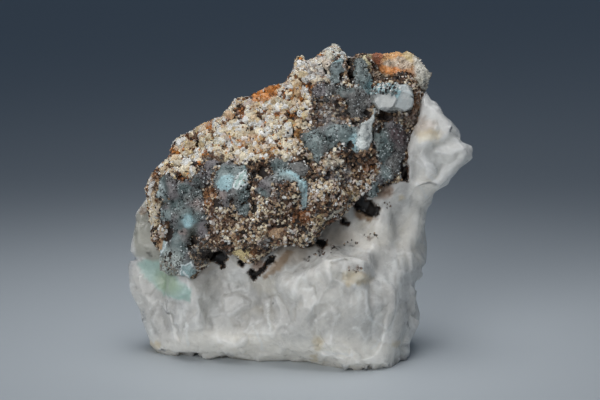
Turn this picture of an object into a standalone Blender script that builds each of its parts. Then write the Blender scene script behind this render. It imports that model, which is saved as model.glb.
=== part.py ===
"""A hemimorphite specimen: a lump of milky quartz that carries a thick crust of fine crystals.

The quartz stands on its own broken base. The crust leans on its upper left front as a thick slab,
with skins of blue hemimorphite on it, a white quartz knob and an iron-stained vein at the top right.
The origin is at the middle of the base. X runs to the right, Y away from the viewer, Z up.
Every length in this file is in millimetres, and MM turns it into Blender's metres.

Outlines and depths are given as a viewer sees them who looks at the middle of the stone from a little
above: millimetres to the right of that middle, millimetres above it, and the depth Y of the place.
"""

import math

import bmesh
import bpy
import numpy as np
from mathutils import Matrix, Vector, noise

MM = 0.001

# Where the viewer stands, and the height of the point that they look at.
VIEW_DISTANCE = 416.7
VIEW_TILT = math.radians(10)
MIDDLE_HEIGHT = 38.6

# Depths in front of and behind the whole stone.
NEAR = -60
FAR = 60

# The space left between two bodies before their skins are thinned out.
GAP = 0.65

# The block that cuts the stone flat where it rests: its width and its height.
FLOOR_WIDTH = 120
FLOOR_HEIGHT = 20

# Sizes of the working meshes.
PLATE_HALF = 3.0
PLATE_VOXEL = 1.1
BODY_VOXEL = 1.1
SKIN_VOXEL = 0.7
CUTTER_VOXEL = 0.8

# The width over which a body swells from its outline to its full depth, and its depth at the outline.
QUARTZ_RIM = 8.0
CRUST_RIM = 4.0
VEIN_RIM = 4.0
RIM_DEPTH = 0.34

# Triangles that each body keeps.
FACES_OF = {"quartz_matrix": 3700, "druse_crust": 3200, "iron_vein": 420, "quartz_knob": 110}
SKIN_FACES = 220

# The colour and the roughness of each body.
SKIN_FINISH = ((0.36, 0.50, 0.50), 0.45)
FINISH_OF = {
    "quartz_matrix": ((0.62, 0.61, 0.58), 0.35),
    "druse_crust": ((0.42, 0.31, 0.20), 0.85),
    "iron_vein": ((0.55, 0.27, 0.09), 0.6),
    "quartz_knob": ((0.75, 0.80, 0.80), 0.3),
}

# The outline of the quartz, clockwise from its top. Its lowest points are cut off by the floor.
QUARTZ_OUTLINE = [
    (12.5, 32.5), (16, 31), (21, 32), (26, 31), (30, 28.5), (31.5, 27.2), (32.8, 25), (35.2, 23), (38, 19.2),
    (40.3, 15.7), (43, 14.4), (44.2, 12.5), (44.2, 9.5), (42.8, 8.4), (40, 7.2), (38.2, 6.1), (37, 3.9),
    (35.2, 2.5), (33.2, 1.5), (32.2, -2), (31.2, -7.5), (31.8, -11.5), (31.5, -15.8), (30.2, -17.2),
    (31, -18.8), (30, -19.6), (27.8, -21.2), (29.2, -22.8), (29, -24.8), (30, -28.5), (29.8, -31),
    (28.5, -33.8), (27.5, -35.5), (28, -37.5), (27.8, -40), (26.5, -48), (8, -48), (5.2, -43), (-4.5, -42),
    (-10, -42.4), (-15, -41.4), (-19.8, -41.2), (-24.2, -41.6), (-25.8, -40.4), (-27.5, -40), (-31, -40.6),
    (-33.8, -40.2), (-37.8, -37.6), (-38, -35),
    (-39.5, -30.1), (-40, -27.5), (-42.5, -22.8), (-43, -17), (-42.2, -10.8), (-41, -5.5), (-41.2, -3.5),
    (-40, -1.8), (-38.5, 0.2), (-33.8, 5), (-27.5, 13.8), (-21, 17), (-15, 22.5), (-4, 26), (0, 31), (8, 34),
]

# Depths of the quartz's front. The lower block bulges, a ledge steps back above it, the lobe at the
# upper right comes forward again, and the seat of the crust lies in the upper left.
QUARTZ_FRONT = [
    (-36, -38, -7), (-25, -39, -12), (-10, -40, -15), (8, -45, -18), (20, -46, -18), (26, -44, -13),
    (8, -39, -22), (20, -39, -21), (26, -39, -15),
    (-40, -27, -6), (-30, -28, -16), (-12, -29, -21), (8, -28, -24), (20, -28, -22), (28, -28, -13),
    (-42, -18, -4), (-34, -20, -13), (-22, -21, -18), (-12, -20, -20), (-2, -19, -21.5), (8, -15, -22.5),
    (18, -16, -21), (24, -20, -17), (29, -20, -11),
    (2, -11, -15), (10, -10.5, -14), (17, -10.5, -13), (23, -12.5, -13), (29, -14, -10),
    (6, -6, -11), (14, -3, -10), (22, -4, -11), (29, -6, -9),
    (22, 1, -9), (29, 1, -10), (33, 4, -12), (30, 12, -13), (36, 12, -14), (41, 12, -9), (31, 20, -11),
    (36, 18, -10), (31, 25, -6),
    (-36, -2, -5), (-28, 0, -5), (-15, 5, -5), (0, 10, -5), (15, 15, -5), (24, 20, -5), (20, 28, -1),
    (-20, 17, 3), (-8, 22, 4), (4, 30, 5), (10, 33, 5), (-28, -12, -9), (-18, -8, -11), (-5, -5, -12),
    (6, 2, -11),
]

# Depths of the quartz's back, which is one rough break.
QUARTZ_BACK = [
    (-34, -36, 8), (-20, -38, 17), (0, -40, 22), (18, -41, 20), (26, -40, 13),
    (-40, -20, 6), (-24, -22, 18), (-2, -22, 25), (16, -20, 23), (29, -20, 10),
    (-36, 0, 8), (-20, 0, 17), (0, 2, 22), (16, 2, 19), (30, 4, 12), (38, 9, 9), (42, 12, 7), (37, 18, 8),
    (-24, 14, 11), (-12, 18, 13), (0, 22, 15), (14, 24, 14), (28, 24, 8), (8, 33, 10), (20, 30, 9),
]

# Flat breaks that square the quartz off, as (x, y, z, outward x, outward y, outward z, reach).
QUARTZ_BREAKS = [
    (-33, -14, 14, -0.62, -0.76, -0.10, 26),
    (-20, -20, 5, -0.15, -0.92, -0.36, 20),
    (14, -23, 8, 0.18, -0.92, -0.34, 22),
    (-2, -22, 18, -0.30, -0.95, 0.08, 16),
    (20, -20, 21, 0.42, -0.86, 0.30, 14),
    (34, -12, 48, 0.22, -0.97, -0.05, 16),
    (36, -9, 59, 0.55, -0.60, 0.58, 12),
    (-28, 16, 20, -0.66, 0.75, 0.06, 24),
    (-2, 24, 12, 0.06, 0.98, -0.18, 26),
    (24, 18, 16, 0.66, 0.75, -0.05, 22),
    (-12, 17, 46, -0.36, 0.76, 0.54, 22),
    (14, 19, 50, 0.20, 0.95, 0.24, 22),
    (33, 8, 54, 0.62, 0.70, 0.34, 18),
]

# Hollows of shell-like breaks in the quartz, as (x, y, z, radius).
QUARTZ_SCOOPS = [
    (-27, -24, -4, 8.0), (-16, -27, -5, 8.5), (10, -34, 46, 22.0), (8, 38, 30, 16.0), (-30, 26, 34, 13.0),
    (26, 24, 40, 10.0), (-12, 30, 60, 12.0),
]

# Dark pockets in the quartz under the crust's lower lip, as seen with their depth and radius.
LIP_POCKETS = [
    (16.2, -0.8, -11, 4.0), (11, -4.8, -12, 2.6), (4.2, -10.6, -15, 2.6), (-9, -17, -20, 3.2),
    (-21.5, -15.6, -18, 3.2), (25.5, 6.8, -10, 2.6),
]

# The outline of the crust, clockwise from its left end: the long upper slope, the peak, the right side
# down to the hanging lobe, the overhanging lower lip and the foot at the lower left.
CRUST_OUTLINE = [
    (-39, 2.8), (-38.2, 5), (-36.8, 7.2), (-33, 10.8), (-32.5, 13), (-31.2, 15.2), (-27.5, 17.2), (-25, 19),
    (-19.8, 21), (-18.5, 22.5), (-16.8, 24.8), (-12.5, 26.2), (-9.5, 27.8), (-4, 29.4), (-3, 31), (-2, 32.8),
    (-1.2, 35.6), (-0.2, 36.8), (1.8, 35.5), (3.2, 36), (5.2, 37.6), (6.5, 38.8), (9, 40.4), (10, 39.4),
    (11.2, 37.2), (11.8, 35.9), (13.2, 36), (14.5, 36.8), (16.5, 36.9), (17, 33.5), (18, 30.5), (23.8, 31.2),
    (26.2, 30), (28.5, 27.5), (29.5, 25.5), (29, 23), (27.5, 20), (27.5, 15), (27, 8.8), (27, 5), (22.5, 4.2),
    (19.5, 3), (17.5, 0), (15.5, 2.5), (13, 1.2), (11.8, -1.2), (8.8, -3), (6.2, -5), (5, -7.2), (2.5, -8.5),
    (0, -10.2), (-3.8, -10.8), (-7, -11.2), (-9.5, -13), (-13, -15), (-15, -14.5), (-18.8, -12.5), (-22, -14),
    (-25, -17), (-25.8, -20.8), (-27.5, -22.8), (-29.5, -21.2), (-31.2, -18), (-33.5, -15.5), (-35, -13.8),
    (-36.2, -8.8), (-38, -2.5), (-38.8, 0),
]

# Depths of the crust's front: an upper slope that leans back, and a steep front below it.
CRUST_FRONT = [
    (-38, 4, -2), (-32, 13, -1), (-24, 19, 0), (-15, 25, 1), (-6, 28, 1), (0, 35, 2), (9, 38, 2), (15, 36, 1),
    (-32, 8, -6), (-22, 13, -8), (-10, 17, -9), (-2, 22, -8), (3, 30, -5), (9, 33, -5),
    (-32, 1, -10), (-22, 6, -14), (-10, 7, -16), (2, 9, -16), (12, 12, -15), (9, 22, -10),
    (-36, -4, -8), (-31, -10, -13), (-28, -18, -15), (-24, -3, -16), (-20, -10, -19), (-10, -2, -20),
    (-12, -12, -21), (-2, -8, -21), (4, -1, -19), (10, 3, -16), (8, -2, -18),
    (18, 6, -12), (20, 14, -10), (25, 10, -10), (26, 17, -8), (17, 22, -10), (24, 25, -10), (15, 28, -7),
    (19, 30, -5), (27, 27, -7),
]

# Depths of the seat, where the crust lies on the quartz.
SEAT = [
    (-38, 4, 2), (-30, 15, 4), (-20, 20, 6), (-10, 26, 7), (0, 33, 8), (9, 38, 8), (16, 36, 7),
    (-35, -6, -2), (-28, 0, -3), (-15, 5, -3), (0, 10, -3), (15, 15, -3), (25, 20, -2), (25, 28, 2),
    (-30, -18, -9), (-26, -18, -10), (-18, -11, -11), (-8, -9, -12), (2, -6, -12), (10, 0, -10), (20, 6, -8),
    (26, 8, -6),
]

# Pits and pockets in the crust, as seen with their depth and radius.
CRUST_PITS = [
    (12.8, 31, -6.5, 2.2), (21.5, 21.6, -11.5, 3.0), (-11.5, 8, -18.5, 1.8), (-32.5, -4, -13, 1.8),
    (14.8, 21.5, -13, 1.8), (-14.5, 16.5, -10.5, 1.4), (-2, 16.8, -12, 1.6), (18, 9, -14.5, 1.8),
    (-6, 0, -21.5, 2.0), (-17, -5, -20.5, 2.0),
]

# The iron-stained vein behind the crust's upper right corner.
VEIN_OUTLINE = [
    (15.5, 36.4), (16.5, 37.4), (18, 37), (21.2, 37.8), (23.8, 38), (26.8, 38.8), (27.8, 37.4),
    (29.8, 36.4), (31.4, 34.8), (34, 32), (33, 29.2), (32, 27.2), (28.8, 25.5), (25, 25), (20, 27),
    (16.2, 28.8), (15, 32.5),
]
VEIN_FRONT = [
    (16, 36, 2), (20, 36, 0), (27, 36.5, -1), (32, 32, -1), (24, 32, -3), (30, 28, -3), (26, 27, -4),
    (17, 30, 3),
]
VEIN_BACK = [(16, 31, 9), (20, 36, 8), (28, 36, 8), (32, 32, 5), (30, 27, 7), (20, 27, 10), (25, 31, 11)]

# Lobes of each skin of blue hemimorphite on the crust's front, as seen with their radius.
BLUE_SKINS = {
    "hemimorphite_left": [
        (-33, 5, 3.2), (-34, 0, 3.0), (-29.5, 3, 3.6), (-30.5, -3, 3.6), (-28, -8, 3.6),
        (-31.5, -11, 3.0), (-29, -14.5, 3.0), (-26.4, 6, 3.3), (-25.8, 0, 2.8), (-25, -5, 2.8),
    ],
    "hemimorphite_bright": [
        (-18.6, 6.2, 2.8), (-15.6, 6.4, 2.7), (-18.6, 9.4, 2.4), (-15.6, 2, 2.7), (-16, -1.6, 2.3),
        (-18, 2, 2.6),
    ],
    "hemimorphite_fan": [
        (-5.6, 4.2, 4.2), (-2.8, 4, 4.2), (-8, 4.6, 2.6), (-4, 9.2, 2.6), (-1, 9.6, 2.2), (-1, 6.6, 3.2),
    ],
    "hemimorphite_centre": [
        (3.2, 16.4, 3.2), (4.6, 12.4, 2.3), (7.4, 17.2, 3.2), (11.2, 17, 3.2), (14, 16.2, 2.8), (12, 14, 2.6),
    ],
    "hemimorphite_top": [
        (9.4, 34, 3.2), (9.4, 30.4, 2.8), (14.8, 34, 2.4), (15.4, 30.4, 2.6), (13.8, 26.6, 3.1),
        (11, 24, 3.0), (5.4, 27, 3.0),
    ],
    "hemimorphite_right": [
        (21.6, 15.4, 2.8), (21.2, 11.4, 2.4), (24, 14.2, 2.8), (24, 18, 2.4), (23, 9.6, 2.4),
    ],
}
LOBE_FLATNESS = 0.4

# The white quartz knob as seen, with its half sizes and its flat faces (outward x, y, z, distance out).
KNOB_PLACE = (23.2, 25.6, -8.5)
KNOB_HALF_SIZE = (5.4, 4.2, 3.6)
KNOB_FACES_OUT = [
    (-0.35, -0.80, 0.48, 3.3), (0.40, -0.80, 0.44, 3.4), (0.10, -0.75, -0.65, 3.0),
    (-0.80, -0.45, -0.40, 4.2), (0.85, -0.40, -0.34, 4.4), (0.05, -0.20, 0.98, 2.9),
    (-0.70, -0.30, 0.64, 4.2), (0.78, -0.20, 0.60, 4.2),
]

# Random small breaks and grown lumps: their number, size and depth or height, and the seed that keeps
# them the same on each run. Breaks lie above CHIP_FLOOR, where the skin faces front or back enough.
QUARTZ_CHIPS = (130, 5.5, 1.3)
VEIN_CHIPS = (24, 2.6, 0.7)
CHIP_FACING = 0.6
CHIP_FLOOR = 9.0
CRUST_LUMPS = (300, 2.6, 1.2)
SKIN_LUMPS = (14, 1.6, 0.5)
SEED = 11


def seen_at(across, up, depth_y):
    """The place of what a viewer sees this far to the right of and above the middle, at a depth."""
    straight = depth_y / math.cos(VIEW_TILT)
    nearness = (VIEW_DISTANCE + straight) / (VIEW_DISTANCE + up * math.tan(VIEW_TILT))
    x = across * nearness
    z = MIDDLE_HEIGHT + (up * nearness - depth_y * math.sin(VIEW_TILT)) / math.cos(VIEW_TILT)
    return np.column_stack([x, depth_y + 0 * x, z])


def clear_scene():
    """Removes the objects of the startup scene."""
    for obj in list(bpy.data.objects):
        bpy.data.objects.remove(obj)


def collection_for(name):
    """A new collection in the scene."""
    made = bpy.data.collections.new(name)
    bpy.context.scene.collection.children.link(made)
    return made


def finish_of(name, colour, roughness):
    """A plain stone finish."""
    made = bpy.data.materials.new(name)
    made.use_nodes = True
    shader = made.node_tree.nodes["Principled BSDF"]
    shader.inputs["Base Color"].default_value = (*colour, 1.0)
    shader.inputs["Roughness"].default_value = roughness
    shader.inputs["Metallic"].default_value = 0.0
    return made


def object_of(name, mesh, collection):
    """An object that holds the mesh."""
    made = bpy.data.objects.new(name, mesh)
    collection.objects.link(made)
    return made


def apply_modifiers(obj):
    """Replaces the object's mesh with what its modifiers make of it."""
    bpy.context.view_layer.update()
    graph = bpy.context.evaluated_depsgraph_get()
    mesh = bpy.data.meshes.new_from_object(obj.evaluated_get(graph))
    obj.modifiers.clear()
    obj.data = mesh


def remesh(obj, voxel):
    """Gives the object an even skin of small squares."""
    modifier = obj.modifiers.new("even skin", "REMESH")
    modifier.mode = "VOXEL"
    modifier.voxel_size = voxel * MM
    apply_modifiers(obj)


def thin_out(obj, faces):
    """Collapses the object's skin to about this many triangles."""
    obj.modifiers.new("triangles", "TRIANGULATE")
    apply_modifiers(obj)
    modifier = obj.modifiers.new("fewer faces", "DECIMATE")
    modifier.ratio = min(1.0, faces / len(obj.data.polygons))
    apply_modifiers(obj)


def cut(obj, cutter):
    """Takes the cutter's shape out of the object."""
    modifier = obj.modifiers.new("cut", "BOOLEAN")
    modifier.operation = "DIFFERENCE"
    modifier.object = cutter
    modifier.solver = "EXACT"
    apply_modifiers(obj)


def keep_largest(obj):
    """Drops the crumbs that a cut leaves beside the main body."""
    shape = bmesh.new()
    shape.from_mesh(obj.data)
    left = set(shape.verts)
    islands = []
    while left:
        island, edge_of_island = set(), [left.pop()]
        while edge_of_island:
            vert = edge_of_island.pop()
            island.add(vert)
            for edge in vert.link_edges:
                other = edge.other_vert(vert)
                if other in left:
                    left.remove(other)
                    edge_of_island.append(other)
        islands.append(island)
    largest = max(islands, key=len)
    bmesh.ops.delete(shape, geom=[v for v in shape.verts if v not in largest], context="VERTS")
    shape.to_mesh(obj.data)
    shape.free()


def points_of(obj):
    """The object's vertices in millimetres, one row each."""
    flat = np.empty(3 * len(obj.data.vertices))
    obj.data.vertices.foreach_get("co", flat)
    return flat.reshape(-1, 3) / MM


def move_points(obj, points):
    """Puts the object's vertices at these places."""
    obj.data.vertices.foreach_set("co", (points * MM).ravel())
    obj.data.update()


def normals_of(obj):
    """The outward direction at each vertex."""
    flat = np.empty(3 * len(obj.data.vertices))
    obj.data.vertices.foreach_get("normal", flat)
    return flat.reshape(-1, 3)


def depth_field(knots):
    """A smooth sheet of depths through knots of (across, up, depth)."""
    knots = np.array(knots, float)
    places, depths = knots[:, :2], knots[:, 2]
    count = len(knots)

    def bending(at):
        square = ((at[:, None, :] - places[None, :, :]) ** 2).sum(2)
        return 0.5 * square * np.log(square + 1e-9)

    flat_part = np.column_stack([np.ones(count), places])
    system = np.zeros((count + 3, count + 3))
    system[:count, :count] = bending(places) + 2.0 * np.eye(count)
    system[:count, count:] = flat_part
    system[count:, :count] = flat_part.T
    weights = np.linalg.solve(system, np.concatenate([depths, np.zeros(3)]))

    def depth(across, up):
        at = np.column_stack([across, up])
        return bending(at) @ weights[:count] + weights[count] + at @ weights[count + 1 :]

    return depth


def depth_inside(outline, across, up):
    """How far each point lies from a closed outline."""
    corners = np.array(outline, float)
    at = np.column_stack([across, up])
    nearest = np.full(len(at), np.inf)
    for start, end in zip(corners, np.roll(corners, -1, axis=0)):
        along = end - start
        share = np.clip((at - start) @ along / (along @ along), 0, 1)
        nearest = np.minimum(nearest, np.linalg.norm(at - start - share[:, None] * along, axis=1))
    return nearest


def outline_plate(name, outline, collection):
    """A flat plate cut to an outline that stands upright."""
    curve = bpy.data.curves.new(name, "CURVE")
    curve.dimensions = "2D"
    curve.fill_mode = "BOTH"
    curve.extrude = PLATE_HALF * MM
    spline = curve.splines.new("POLY")
    spline.points.add(len(outline) - 1)
    for point, (across, up) in zip(spline.points, outline):
        point.co = (across * MM, up * MM, 0, 1)
    spline.use_cyclic_u = True
    drawn = bpy.data.objects.new(name + "_outline", curve)
    collection.objects.link(drawn)
    drawn.rotation_euler = (math.radians(90), 0, 0)
    bpy.context.view_layer.update()
    graph = bpy.context.evaluated_depsgraph_get()
    mesh = bpy.data.meshes.new_from_object(drawn.evaluated_get(graph))
    mesh.transform(drawn.matrix_world)
    bpy.data.objects.remove(drawn)
    welded = bmesh.new()
    welded.from_mesh(mesh)
    bmesh.ops.remove_doubles(welded, verts=welded.verts, dist=0.01 * MM)
    bmesh.ops.recalc_face_normals(welded, faces=welded.faces)
    welded.to_mesh(mesh)
    welded.free()
    return object_of(name, mesh, collection)


def depth_body(name, outline, front, back, rim, collection):
    """A plate whose two faces are pushed to a front and a back depth along the viewer's lines of sight."""
    body = outline_plate(name, outline, collection)
    remesh(body, PLATE_VOXEL)
    across, through, up = points_of(body).T
    front_depth = front(across, up)
    back_depth = np.maximum(back(across, up), front_depth + 1.0)
    to_full = np.clip(depth_inside(outline, across, up) / rim, 0, 1)
    swell = RIM_DEPTH + (1 - RIM_DEPTH) * np.sqrt(1 - (1 - to_full) ** 2)
    toward_back = np.clip(through / PLATE_HALF, -1, 1) * swell
    depth_y = (front_depth + back_depth) / 2 + toward_back * (back_depth - front_depth) / 2
    move_points(body, seen_at(across, up, depth_y))
    remesh(body, BODY_VOXEL)
    return body


def flat_break(points, place, outward, reach):
    """Presses what stands out past a plane back onto it, near the place."""
    outward = np.array(outward) / np.linalg.norm(outward)
    out = (points - place) @ outward
    near = np.clip(1.5 - np.linalg.norm(points - place, axis=1) / reach, 0, 0.5) * 2
    return points - (np.maximum(out, 0) * near)[:, None] * outward


def scoop(points, centre, radius):
    """Pushes what lies in a ball out to its surface, which leaves a shell-like hollow."""
    away = points - centre
    distance = np.linalg.norm(away, axis=1)
    inside = distance < radius
    moved = points.copy()
    moved[inside] = centre + away[inside] * (radius / np.maximum(distance[inside], 1e-6))[:, None]
    return moved


def random_chips(obj, chips, rng):
    """Small flat breaks at random places of the front and the back, clear of the outline and the base."""
    count, size, depth = chips
    points, normals = points_of(obj), normals_of(obj)
    broad = np.flatnonzero((np.abs(normals[:, 1]) > CHIP_FACING) & (points[:, 2] > CHIP_FLOOR))
    for index in rng.choice(broad, count):
        outward = normals[index] + rng.normal(0, 0.35, 3)
        outward /= np.linalg.norm(outward)
        place = points[index] - outward * rng.uniform(0.3, 1.0) * depth
        points = flat_break(points, place, outward, rng.uniform(0.6, 1.4) * size)
    move_points(obj, points)


def random_lumps(obj, lumps, rng):
    """Round lumps and pits at random places on what faces the viewer or the sky."""
    count, size, height = lumps
    points, normals = points_of(obj), normals_of(obj)
    facing = np.flatnonzero(normals[:, 1] < 0.3)
    for index in rng.choice(facing, count):
        reach = rng.uniform(0.7, 1.4) * size
        near = np.linalg.norm(points - points[index], axis=1) / reach
        swell = np.sqrt(np.clip(1 - near**2, 0, 1)) * height * rng.uniform(-0.9, 1.0)
        points = points + swell[:, None] * normals[index]
    move_points(obj, points)


def roughen(obj, size, height, seed, most_back=2.0):
    """Soft lumps of about this size and height where the skin faces no further back than most_back."""
    points, normals = points_of(obj), normals_of(obj)
    lift = np.array([noise.noise(Vector(p / size) + Vector((seed, 0, 0))) for p in points])
    facing = np.clip((most_back - normals[:, 1]) * 3, 0, 1)
    move_points(obj, points + normals * (lift * height * facing)[:, None])


def floor_block(helpers):
    """The block under the floor."""
    shape = bmesh.new()
    bmesh.ops.create_cube(shape, size=1)
    bmesh.ops.scale(shape, vec=Vector((FLOOR_WIDTH, FLOOR_WIDTH, FLOOR_HEIGHT)) * MM, verts=shape.verts)
    bmesh.ops.translate(shape, vec=(0, 0, -FLOOR_HEIGHT / 2 * MM), verts=shape.verts)
    mesh = bpy.data.meshes.new("floor_block")
    shape.to_mesh(mesh)
    shape.free()
    return as_helper(object_of("floor_block", mesh, helpers))


def as_helper(obj):
    """Marks the object as a cutter."""
    obj.hide_render = True
    obj.display_type = "WIRE"
    return obj


def room_for(bodies, name, helpers):
    """One cutter that is all these bodies grown into one, larger by the gap all round."""
    shape = bmesh.new()
    for body in bodies:
        grown = object_of(body.name + "_grown", body.data.copy(), helpers)
        move_points(grown, points_of(grown) + normals_of(grown) * GAP)
        shape.from_mesh(grown.data)
        bpy.data.objects.remove(grown)
    mesh = bpy.data.meshes.new(name)
    shape.to_mesh(mesh)
    shape.free()
    room = object_of(name, mesh, helpers)
    remesh(room, CUTTER_VOXEL)
    return as_helper(room)


def make_quartz(parts, rng):
    """The lump of milky quartz, broken flat here and in shells there."""
    quartz = depth_body(
        "quartz_matrix",
        QUARTZ_OUTLINE,
        depth_field(QUARTZ_FRONT),
        depth_field(QUARTZ_BACK),
        QUARTZ_RIM,
        parts,
    )
    points = points_of(quartz)
    for x, y, z, out_x, out_y, out_z, reach in QUARTZ_BREAKS:
        points = flat_break(points, (x, y, z), (out_x, out_y, out_z), reach)
    for x, y, z, radius in QUARTZ_SCOOPS:
        points = scoop(points, (x, y, z), radius)
    for across, up, depth_y, radius in LIP_POCKETS:
        points = scoop(points, seen_at(across, up, depth_y)[0], radius)
    move_points(quartz, points)
    roughen(quartz, 7.0, 0.7, 3)
    random_chips(quartz, QUARTZ_CHIPS, rng)
    remesh(quartz, BODY_VOXEL)
    return quartz


def make_crust(parts, rng):
    """The thick slab of fine crystals, lumpy and pitted in front and smooth where it is seated."""
    crust = depth_body(
        "druse_crust",
        CRUST_OUTLINE,
        depth_field(CRUST_FRONT),
        depth_field(SEAT),
        CRUST_RIM,
        parts,
    )
    roughen(crust, 5.0, 1.6, 8, most_back=0.4)
    random_lumps(crust, CRUST_LUMPS, rng)
    points = points_of(crust)
    for across, up, depth_y, radius in CRUST_PITS:
        points = scoop(points, seen_at(across, up, depth_y)[0], radius)
    move_points(crust, points)
    remesh(crust, BODY_VOXEL)
    return crust


def make_vein(parts, rng):
    """The iron-stained vein."""
    vein = depth_body(
        "iron_vein",
        VEIN_OUTLINE,
        depth_field(VEIN_FRONT),
        depth_field(VEIN_BACK),
        VEIN_RIM,
        parts,
    )
    roughen(vein, 4.0, 1.2, 5)
    random_chips(vein, VEIN_CHIPS, rng)
    remesh(vein, BODY_VOXEL)
    return vein


def on_surface(obj, across, up):
    """The first place of the object that a line of sight meets, and the outward direction there."""
    start, end = (Vector(seen_at(across, up, depth_y)[0]) * MM for depth_y in (NEAR, FAR))
    _, place, outward, _ = obj.ray_cast(start, end - start)
    return place, outward


def make_skin(name, lobes, crust, parts, rng):
    """One skin of blue hemimorphite: flattened balls grown into each other on the crust."""
    skin = bmesh.new()
    for across, up, radius in lobes:
        place, outward = on_surface(crust, across, up)
        lies = Matrix.Translation(place) @ outward.to_track_quat("Z", "Y").to_matrix().to_4x4()
        flat = Matrix.Diagonal((radius * MM, radius * MM, radius * LOBE_FLATNESS * MM, 1))
        bmesh.ops.create_icosphere(skin, subdivisions=3, radius=1, matrix=lies @ flat)
    mesh = bpy.data.meshes.new(name)
    skin.to_mesh(mesh)
    skin.free()
    made = object_of(name, mesh, parts)
    remesh(made, SKIN_VOXEL)
    random_lumps(made, SKIN_LUMPS, rng)
    return made


def make_knob(parts):
    """The white quartz knob, a ball cut by flat crystal faces."""
    knob = bmesh.new()
    bmesh.ops.create_icosphere(knob, subdivisions=4, radius=MM)
    mesh = bpy.data.meshes.new("quartz_knob")
    knob.to_mesh(mesh)
    knob.free()
    made = object_of("quartz_knob", mesh, parts)
    points = points_of(made) * KNOB_HALF_SIZE
    for out_x, out_y, out_z, distance in KNOB_FACES_OUT:
        outward = np.array((out_x, out_y, out_z)) / np.linalg.norm((out_x, out_y, out_z))
        points = flat_break(points, outward * distance, outward, 100)
    move_points(made, points + seen_at(*KNOB_PLACE)[0])
    return made


def centre_over_origin(bodies):
    """Moves the whole stone so that the middle of its box is over the origin."""
    every = np.vstack([points_of(body) for body in bodies])
    middle = (every.min(axis=0) + every.max(axis=0)) / 2
    for body in bodies:
        move_points(body, points_of(body) - (middle[0], middle[1], 0))


def main():
    clear_scene()
    parts = collection_for("hemimorphite_specimen")
    helpers = collection_for("cutters")
    rng = np.random.default_rng(SEED)
    quartz = make_quartz(parts, rng)
    crust = make_crust(parts, rng)
    vein = make_vein(parts, rng)
    skins = [make_skin(name, lobes, crust, parts, rng) for name, lobes in BLUE_SKINS.items()]
    knob = make_knob(parts)

    cut(quartz, room_for([crust, vein, knob, *skins], "room_in_quartz", helpers))
    cut(vein, room_for([crust, knob, *skins], "room_in_vein", helpers))
    cut(crust, room_for([knob, *skins], "room_in_crust", helpers))
    for body in (quartz, crust, vein):
        remesh(body, SKIN_VOXEL)
    for body in parts.objects:
        keep_largest(body)
        thin_out(body, FACES_OF.get(body.name, SKIN_FACES))
        body.data.materials.append(finish_of(body.name, *FINISH_OF.get(body.name, SKIN_FINISH)))
    cut(quartz, floor_block(helpers))
    centre_over_origin(parts.objects)


main()
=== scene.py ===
# %% [markdown]
# # A hemimorphite specimen
#
# A hand-sized natural stone. A lump of milky quartz carries a thick crust of tiny crystals, and on the
# crust lie skins of blue hemimorphite, a white quartz knob and a rust-stained vein. This lesson dresses
# the plain solids of the stone until they look like the real thing.
#
# The solids are loaded first. They fix the size and the place of everything that follows.

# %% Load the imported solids
import math

import bmesh
import bpy
import numpy as np
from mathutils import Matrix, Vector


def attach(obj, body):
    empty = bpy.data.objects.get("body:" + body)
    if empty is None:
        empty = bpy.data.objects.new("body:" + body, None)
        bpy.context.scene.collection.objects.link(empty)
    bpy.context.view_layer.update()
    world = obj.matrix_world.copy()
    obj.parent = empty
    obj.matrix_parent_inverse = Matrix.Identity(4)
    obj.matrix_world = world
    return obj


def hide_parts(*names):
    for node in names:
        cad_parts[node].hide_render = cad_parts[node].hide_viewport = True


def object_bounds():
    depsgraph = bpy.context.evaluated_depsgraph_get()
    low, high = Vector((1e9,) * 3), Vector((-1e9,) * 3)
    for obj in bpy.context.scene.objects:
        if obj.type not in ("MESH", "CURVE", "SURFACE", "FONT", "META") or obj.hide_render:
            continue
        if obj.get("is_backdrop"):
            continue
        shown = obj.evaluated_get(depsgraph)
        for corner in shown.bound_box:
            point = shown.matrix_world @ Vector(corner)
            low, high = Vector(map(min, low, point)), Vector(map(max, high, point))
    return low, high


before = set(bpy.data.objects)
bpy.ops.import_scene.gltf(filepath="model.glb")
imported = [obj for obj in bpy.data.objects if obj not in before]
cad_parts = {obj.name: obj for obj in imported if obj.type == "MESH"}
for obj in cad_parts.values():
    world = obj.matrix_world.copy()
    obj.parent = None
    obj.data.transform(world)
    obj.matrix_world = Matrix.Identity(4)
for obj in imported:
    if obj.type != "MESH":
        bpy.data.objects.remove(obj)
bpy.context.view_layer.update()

MM = 0.001
print("solids:", sorted(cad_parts))

# %% [markdown]
# ## The camera
#
# The stone is seen from the front and from a little above, through a long lens, so that it hardly
# narrows towards the back. The same numbers later tell where on the stone each stain, pit and skin
# lies: `as_seen` says how far right of and above the middle of the picture a point appears.

# %% The camera
AIM = np.array((-0.38, -0.04, 38.6))
VIEW_DISTANCE = 416.7
VIEW_TILT = math.radians(10)
TOWARDS_VIEWER = np.array((0, -math.cos(VIEW_TILT), math.sin(VIEW_TILT)))

bpy.ops.object.select_all(action="DESELECT")
bpy.ops.object.camera_add(
    location=(AIM + TOWARDS_VIEWER * VIEW_DISTANCE) * MM,
    rotation=(math.radians(90) - VIEW_TILT, 0, 0),
)
camera = bpy.context.object
camera.data.lens = 100
camera.data.sensor_width = 36
camera.data.clip_start = 0.01
bpy.context.scene.camera = camera


def as_seen(points):
    """How far right of and above the middle of the picture each point appears, in millimetres."""
    x, y, z = (points - AIM).T
    nearness = VIEW_DISTANCE / (VIEW_DISTANCE + y * math.cos(VIEW_TILT) - z * math.sin(VIEW_TILT))
    return x * nearness, (y * math.sin(VIEW_TILT) + z * math.cos(VIEW_TILT)) * nearness


def facing(normals):
    """From 1 where the surface is turned to the viewer down to 0 where it is turned away."""
    return np.clip((normals @ TOWARDS_VIEWER) * 4 + 0.6, 0, 1)


print("camera at", [round(v, 3) for v in camera.location])

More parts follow.
